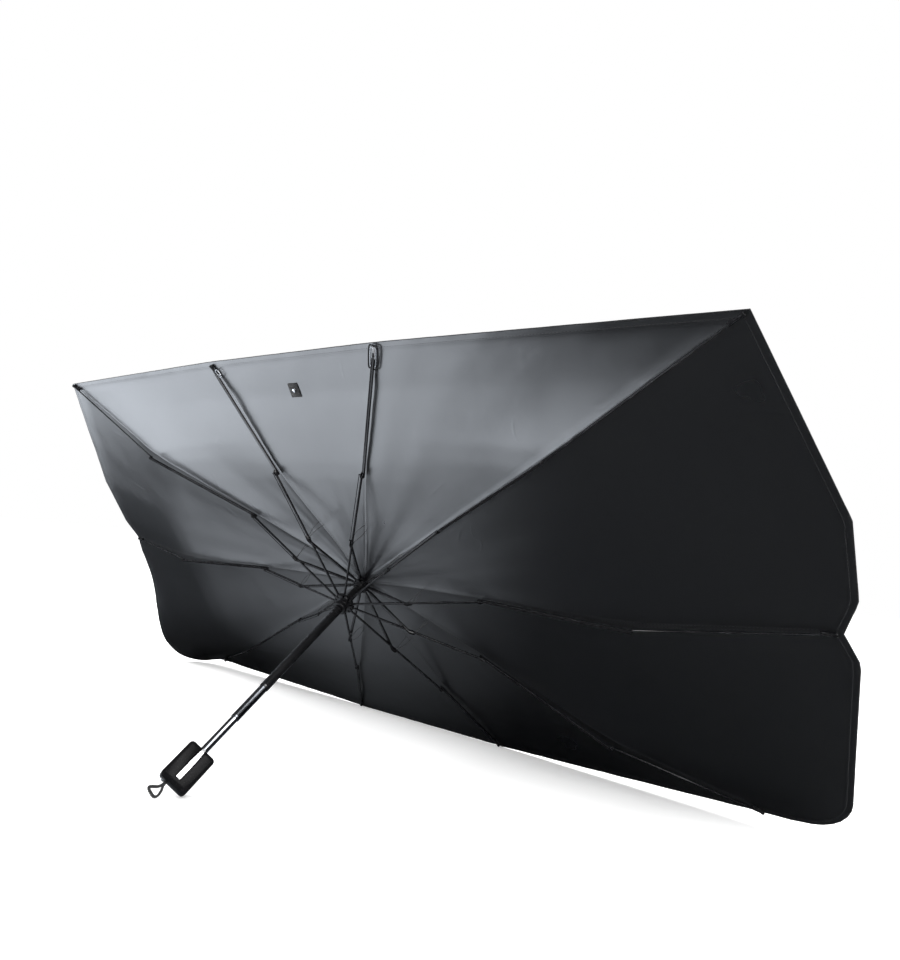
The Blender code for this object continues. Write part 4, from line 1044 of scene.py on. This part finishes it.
def build_strap():
    """Wrist strap: a limp webbing loop whose two ends are sewn together at the handle's corner."""
    side = -HANDLE_WIDTH / 2 + HANDLE_ROUND + 2 * STUD_R + 1.2 * MM
    start = HANDLE_END + 0.3 * MM
    corners = in_metres(
        (0.6, 0), (0.9, 5), (3.4, 10), (4.4, 16.5), (1.5, 19.6), (-6, 18.4), (-10.5, 16.2), (-8.6, 13.6),
        (-3.4, 9.6), (-0.9, 5), (-0.6, 0))
    path = smooth_path([(side + x, start + z) for x, z in corners], 8)
    outline = [(-1.0, -0.8 * MM), (-0.9, -1.4 * MM), (0.0, -1.6 * MM), (0.9, -1.4 * MM), (1.0, -0.8 * MM)]
    outline += [(-across, -rise) for across, rise in outline]
    widths = [STRAP_WIDTH / 2] * len(path)
    mesh = swept_mesh("strap_webbing_loop", path, outline, widths, HANDLE_FRAME, WEBBING)
    stands_for(new_piece("strap_webbing_loop", mesh), "strap")


def tip_matrix(arm, inset, aside, depth):
    """Frame beside an arm's tip: X across the arm, Z outwards, its origin inset from the rim."""
    out = arm_direction(arm)
    side = Vector((-out.y, out.x, 0))
    rim = POINTS[-1, 2 * HALF_GORE_COLUMNS * arm]
    place = out * (math.hypot(rim[0], rim[1]) - inset) + side * aside + Vector((0, 0, depth))
    turn = Matrix((side, Vector((0, 0, 1)), out)).transposed().to_4x4()
    return SHADE @ Matrix.Translation(place) @ turn


def build_tips():
    """Sleeve over each rib's tip, sewn to the hem."""
    for arm, name in enumerate(ARM_ORDER):
        finish = CLEAR_TIP if name in CLEAR_TIPS else MOULDING
        matrix = tip_matrix(arm, SLEEVE_INSET, 0.0, TIP_DEPTH)
        mesh = turned_mesh(name + "_tip", SLEEVE_PROFILE, SLEEVE_SIDES, matrix, finish)
        piece = new_piece(name + "_tip_sleeve", mesh)
        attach(piece, name + ("_outer_rib" if name in SHORT_ARMS else "_end_rib"))


def wire_loop(name, matrix, width, length, radius, material):
    """A closed rounded frame of round wire, lying flat: width across the arm, length along it."""
    half = width / 2
    bend = width / 4
    corners = [
        (-half, bend), (-half, length - bend), (-half + bend, length), (half - bend, length),
        (half, length - bend), (half, bend), (half - bend, 0.0), (-half + bend, 0.0)]
    path = smooth_path(corners, 4, closed=True)
    angles = [math.radians(45 * step) for step in range(8)]
    outline = [(radius * math.cos(angle), radius * math.sin(angle)) for angle in angles]
    mesh = swept_mesh(name, path, outline, [1.0] * len(path), matrix, material, closed=True)
    return new_piece(name, mesh)


def build_catches():
    """Wire catches beside the rib ends at the middle of the top edge."""
    for name, width, length, inset, aside, radius, slot in CATCHES:
        matrix = tip_matrix(ARM_ORDER.index(name), inset, aside, CATCH_DEPTH)
        label = "%s_catch_%d" % (name, round(width / MM))
        piece = wire_loop(label, matrix, width, length, radius, FINISH_OF_SLOT[slot])
        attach(piece, name + "_outer_rib")


def build_camera():
    forward = SHADE_TURN @ Vector(CAMERA_FORWARD).normalized()
    right = SHADE_TURN @ Vector(CAMERA_RIGHT)
    right = (right - forward * right.dot(forward)).normalized()
    turn = Matrix((right, right.cross(forward), -forward)).transposed()
    data = bpy.data.cameras.new("camera")
    data.lens = LENS_MM
    data.sensor_width = SENSOR_MM
    data.clip_start = 0.01
    camera = new_piece("camera", data)
    camera.matrix_world = Matrix.Translation(SHADE @ Vector(CAMERA_PLACE)) @ turn.to_4x4()
    bpy.context.scene.camera = camera


def build_floor():
    """Pale floor. For glossy rays its colour is a painted reflection: a bright patch ahead on the left, dark
    on the right, and a soft painted glow near the shade.
    """
    bpy.ops.mesh.primitive_plane_add(size=40.0)
    floor = bpy.context.object
    floor.name = "floor"
    material, tree, shader, position = start_material("pale_floor", specular_ior_level=0.0, roughness=0.8)
    # Painted reflection for glossy rays: bright ahead and to the left, fading to dark on the right and under
    # the shade.
    place = node(tree, "ShaderNodeSeparateXYZ", {0: position})
    leftward = maths(tree, "MAXIMUM", place.outputs["X"], -1.1)
    slant = maths(tree, "MULTIPLY_ADD", leftward, -0.5, place.outputs["Y"])
    ahead = mapped(tree, slant, 0.42, 0.0)
    near = maths(tree, "POWER", mapped(tree, place.outputs["X"], 0.16, -0.26), 1.5)
    aside = maths(tree, "MULTIPLY_ADD", near, 0.84, mapped(tree, place.outputs["X"], -0.5, -1.0, 0.0, 0.16))
    foot = node(tree, "ShaderNodeVectorMath", {0: position, 1: (-0.15, 0.20, 0.0)}, operation="DISTANCE")
    # A soft painted glow on the floor near the shade's foot, seen by glossy rays.
    painted_glow = mapped(tree, foot.outputs["Value"], 0.34, 0.06, 0.02, 0.20)
    studio = maths(tree, "MAXIMUM", maths(tree, "MULTIPLY", ahead, aside), painted_glow)
    paths = node(tree, "ShaderNodeLightPath")
    seen = maths(tree, "MAXIMUM", paths.outputs["Is Camera Ray"], paths.outputs["Is Diffuse Ray"])
    # Glossy rays see the painted reflection, from black to pale blue; camera and diffuse rays see the plain
    # pale floor.
    painted_reflection_color = mixed(tree, studio, (0.0, 0.0, 0.0, 1.0), (0.86, 0.92, 1.0, 1.0))
    tree.links.new(mixed(tree, seen, painted_reflection_color, (0.94, 0.94, 0.94, 1.0)), shader.inputs["Base Color"])
    # Camera rays see the floor glow: 0.3 near the shade, which lifts its shadow there, up to full white
    # beyond 1.3 m.
    far = node(tree, "ShaderNodeVectorMath", {0: position}, operation="LENGTH")
    camera_glow = mapped(tree, far.outputs["Value"], 0.5, 1.3, 0.30, 1.0)
    camera_glow = maths(tree, "MULTIPLY", camera_glow, paths.outputs["Is Camera Ray"])
    shader.inputs["Emission Color"].default_value = (1.0, 1.0, 1.0, 1.0)
    tree.links.new(camera_glow, shader.inputs["Emission Strength"])
    floor.data.materials.append(material)


def area_light(name, place, target, width, height, watts, mirrored=True):
    data = bpy.data.lights.new(name, "AREA")
    data.shape = "RECTANGLE"
    data.size = width
    data.size_y = height
    data.energy = watts
    lamp = new_piece(name, data)
    lamp.location = place
    lamp.visible_glossy = mirrored
    lamp.rotation_euler = (Vector(target) - Vector(place)).to_track_quat("-Z", "Y").to_euler()


def build_lights():
    area_light("left_softbox", (-2.2, -1.5, 1.9), (-1.1, -0.6, 0.0), 1.6, 1.6, 132.0, mirrored=False)
    area_light("right_softbox", (1.6, -0.5, 1.55), (-0.1, -0.25, 0.15), 1.6, 1.2, 45.0)
    area_light("top_softbox", (1.2, -1.0, 2.6), (0.0, 0.0, 0.2), 1.4, 1.4, 26.0)
    area_light("rib_strip", (0.5, 0.95, 2.2), (0.1, 0.0, 0.35), 1.8, 0.25, 22.0)
    world = bpy.data.worlds.new("studio")
    world.use_nodes = True
    tree = world.node_tree
    paths = node(tree, "ShaderNodeLightPath")
    dim = mapped(tree, paths.outputs["Is Glossy Ray"], 0.0, 1.0, 0.35, 0.12)
    strength = maths(tree, "MAXIMUM", paths.outputs["Is Camera Ray"], dim)
    background = tree.nodes["Background"]
    background.inputs["Color"].default_value = (1.0, 1.0, 1.0, 1.0)
    tree.links.new(strength, background.inputs["Strength"])
    bpy.context.scene.world = world


bpy.context.scene.view_settings.view_transform = "Standard"
build_camera()
build_floor()
build_lights()
build_cloth()
build_tubes()
build_inlay()
build_strap()
build_tips()
build_catches()
finish_cad_nodes()
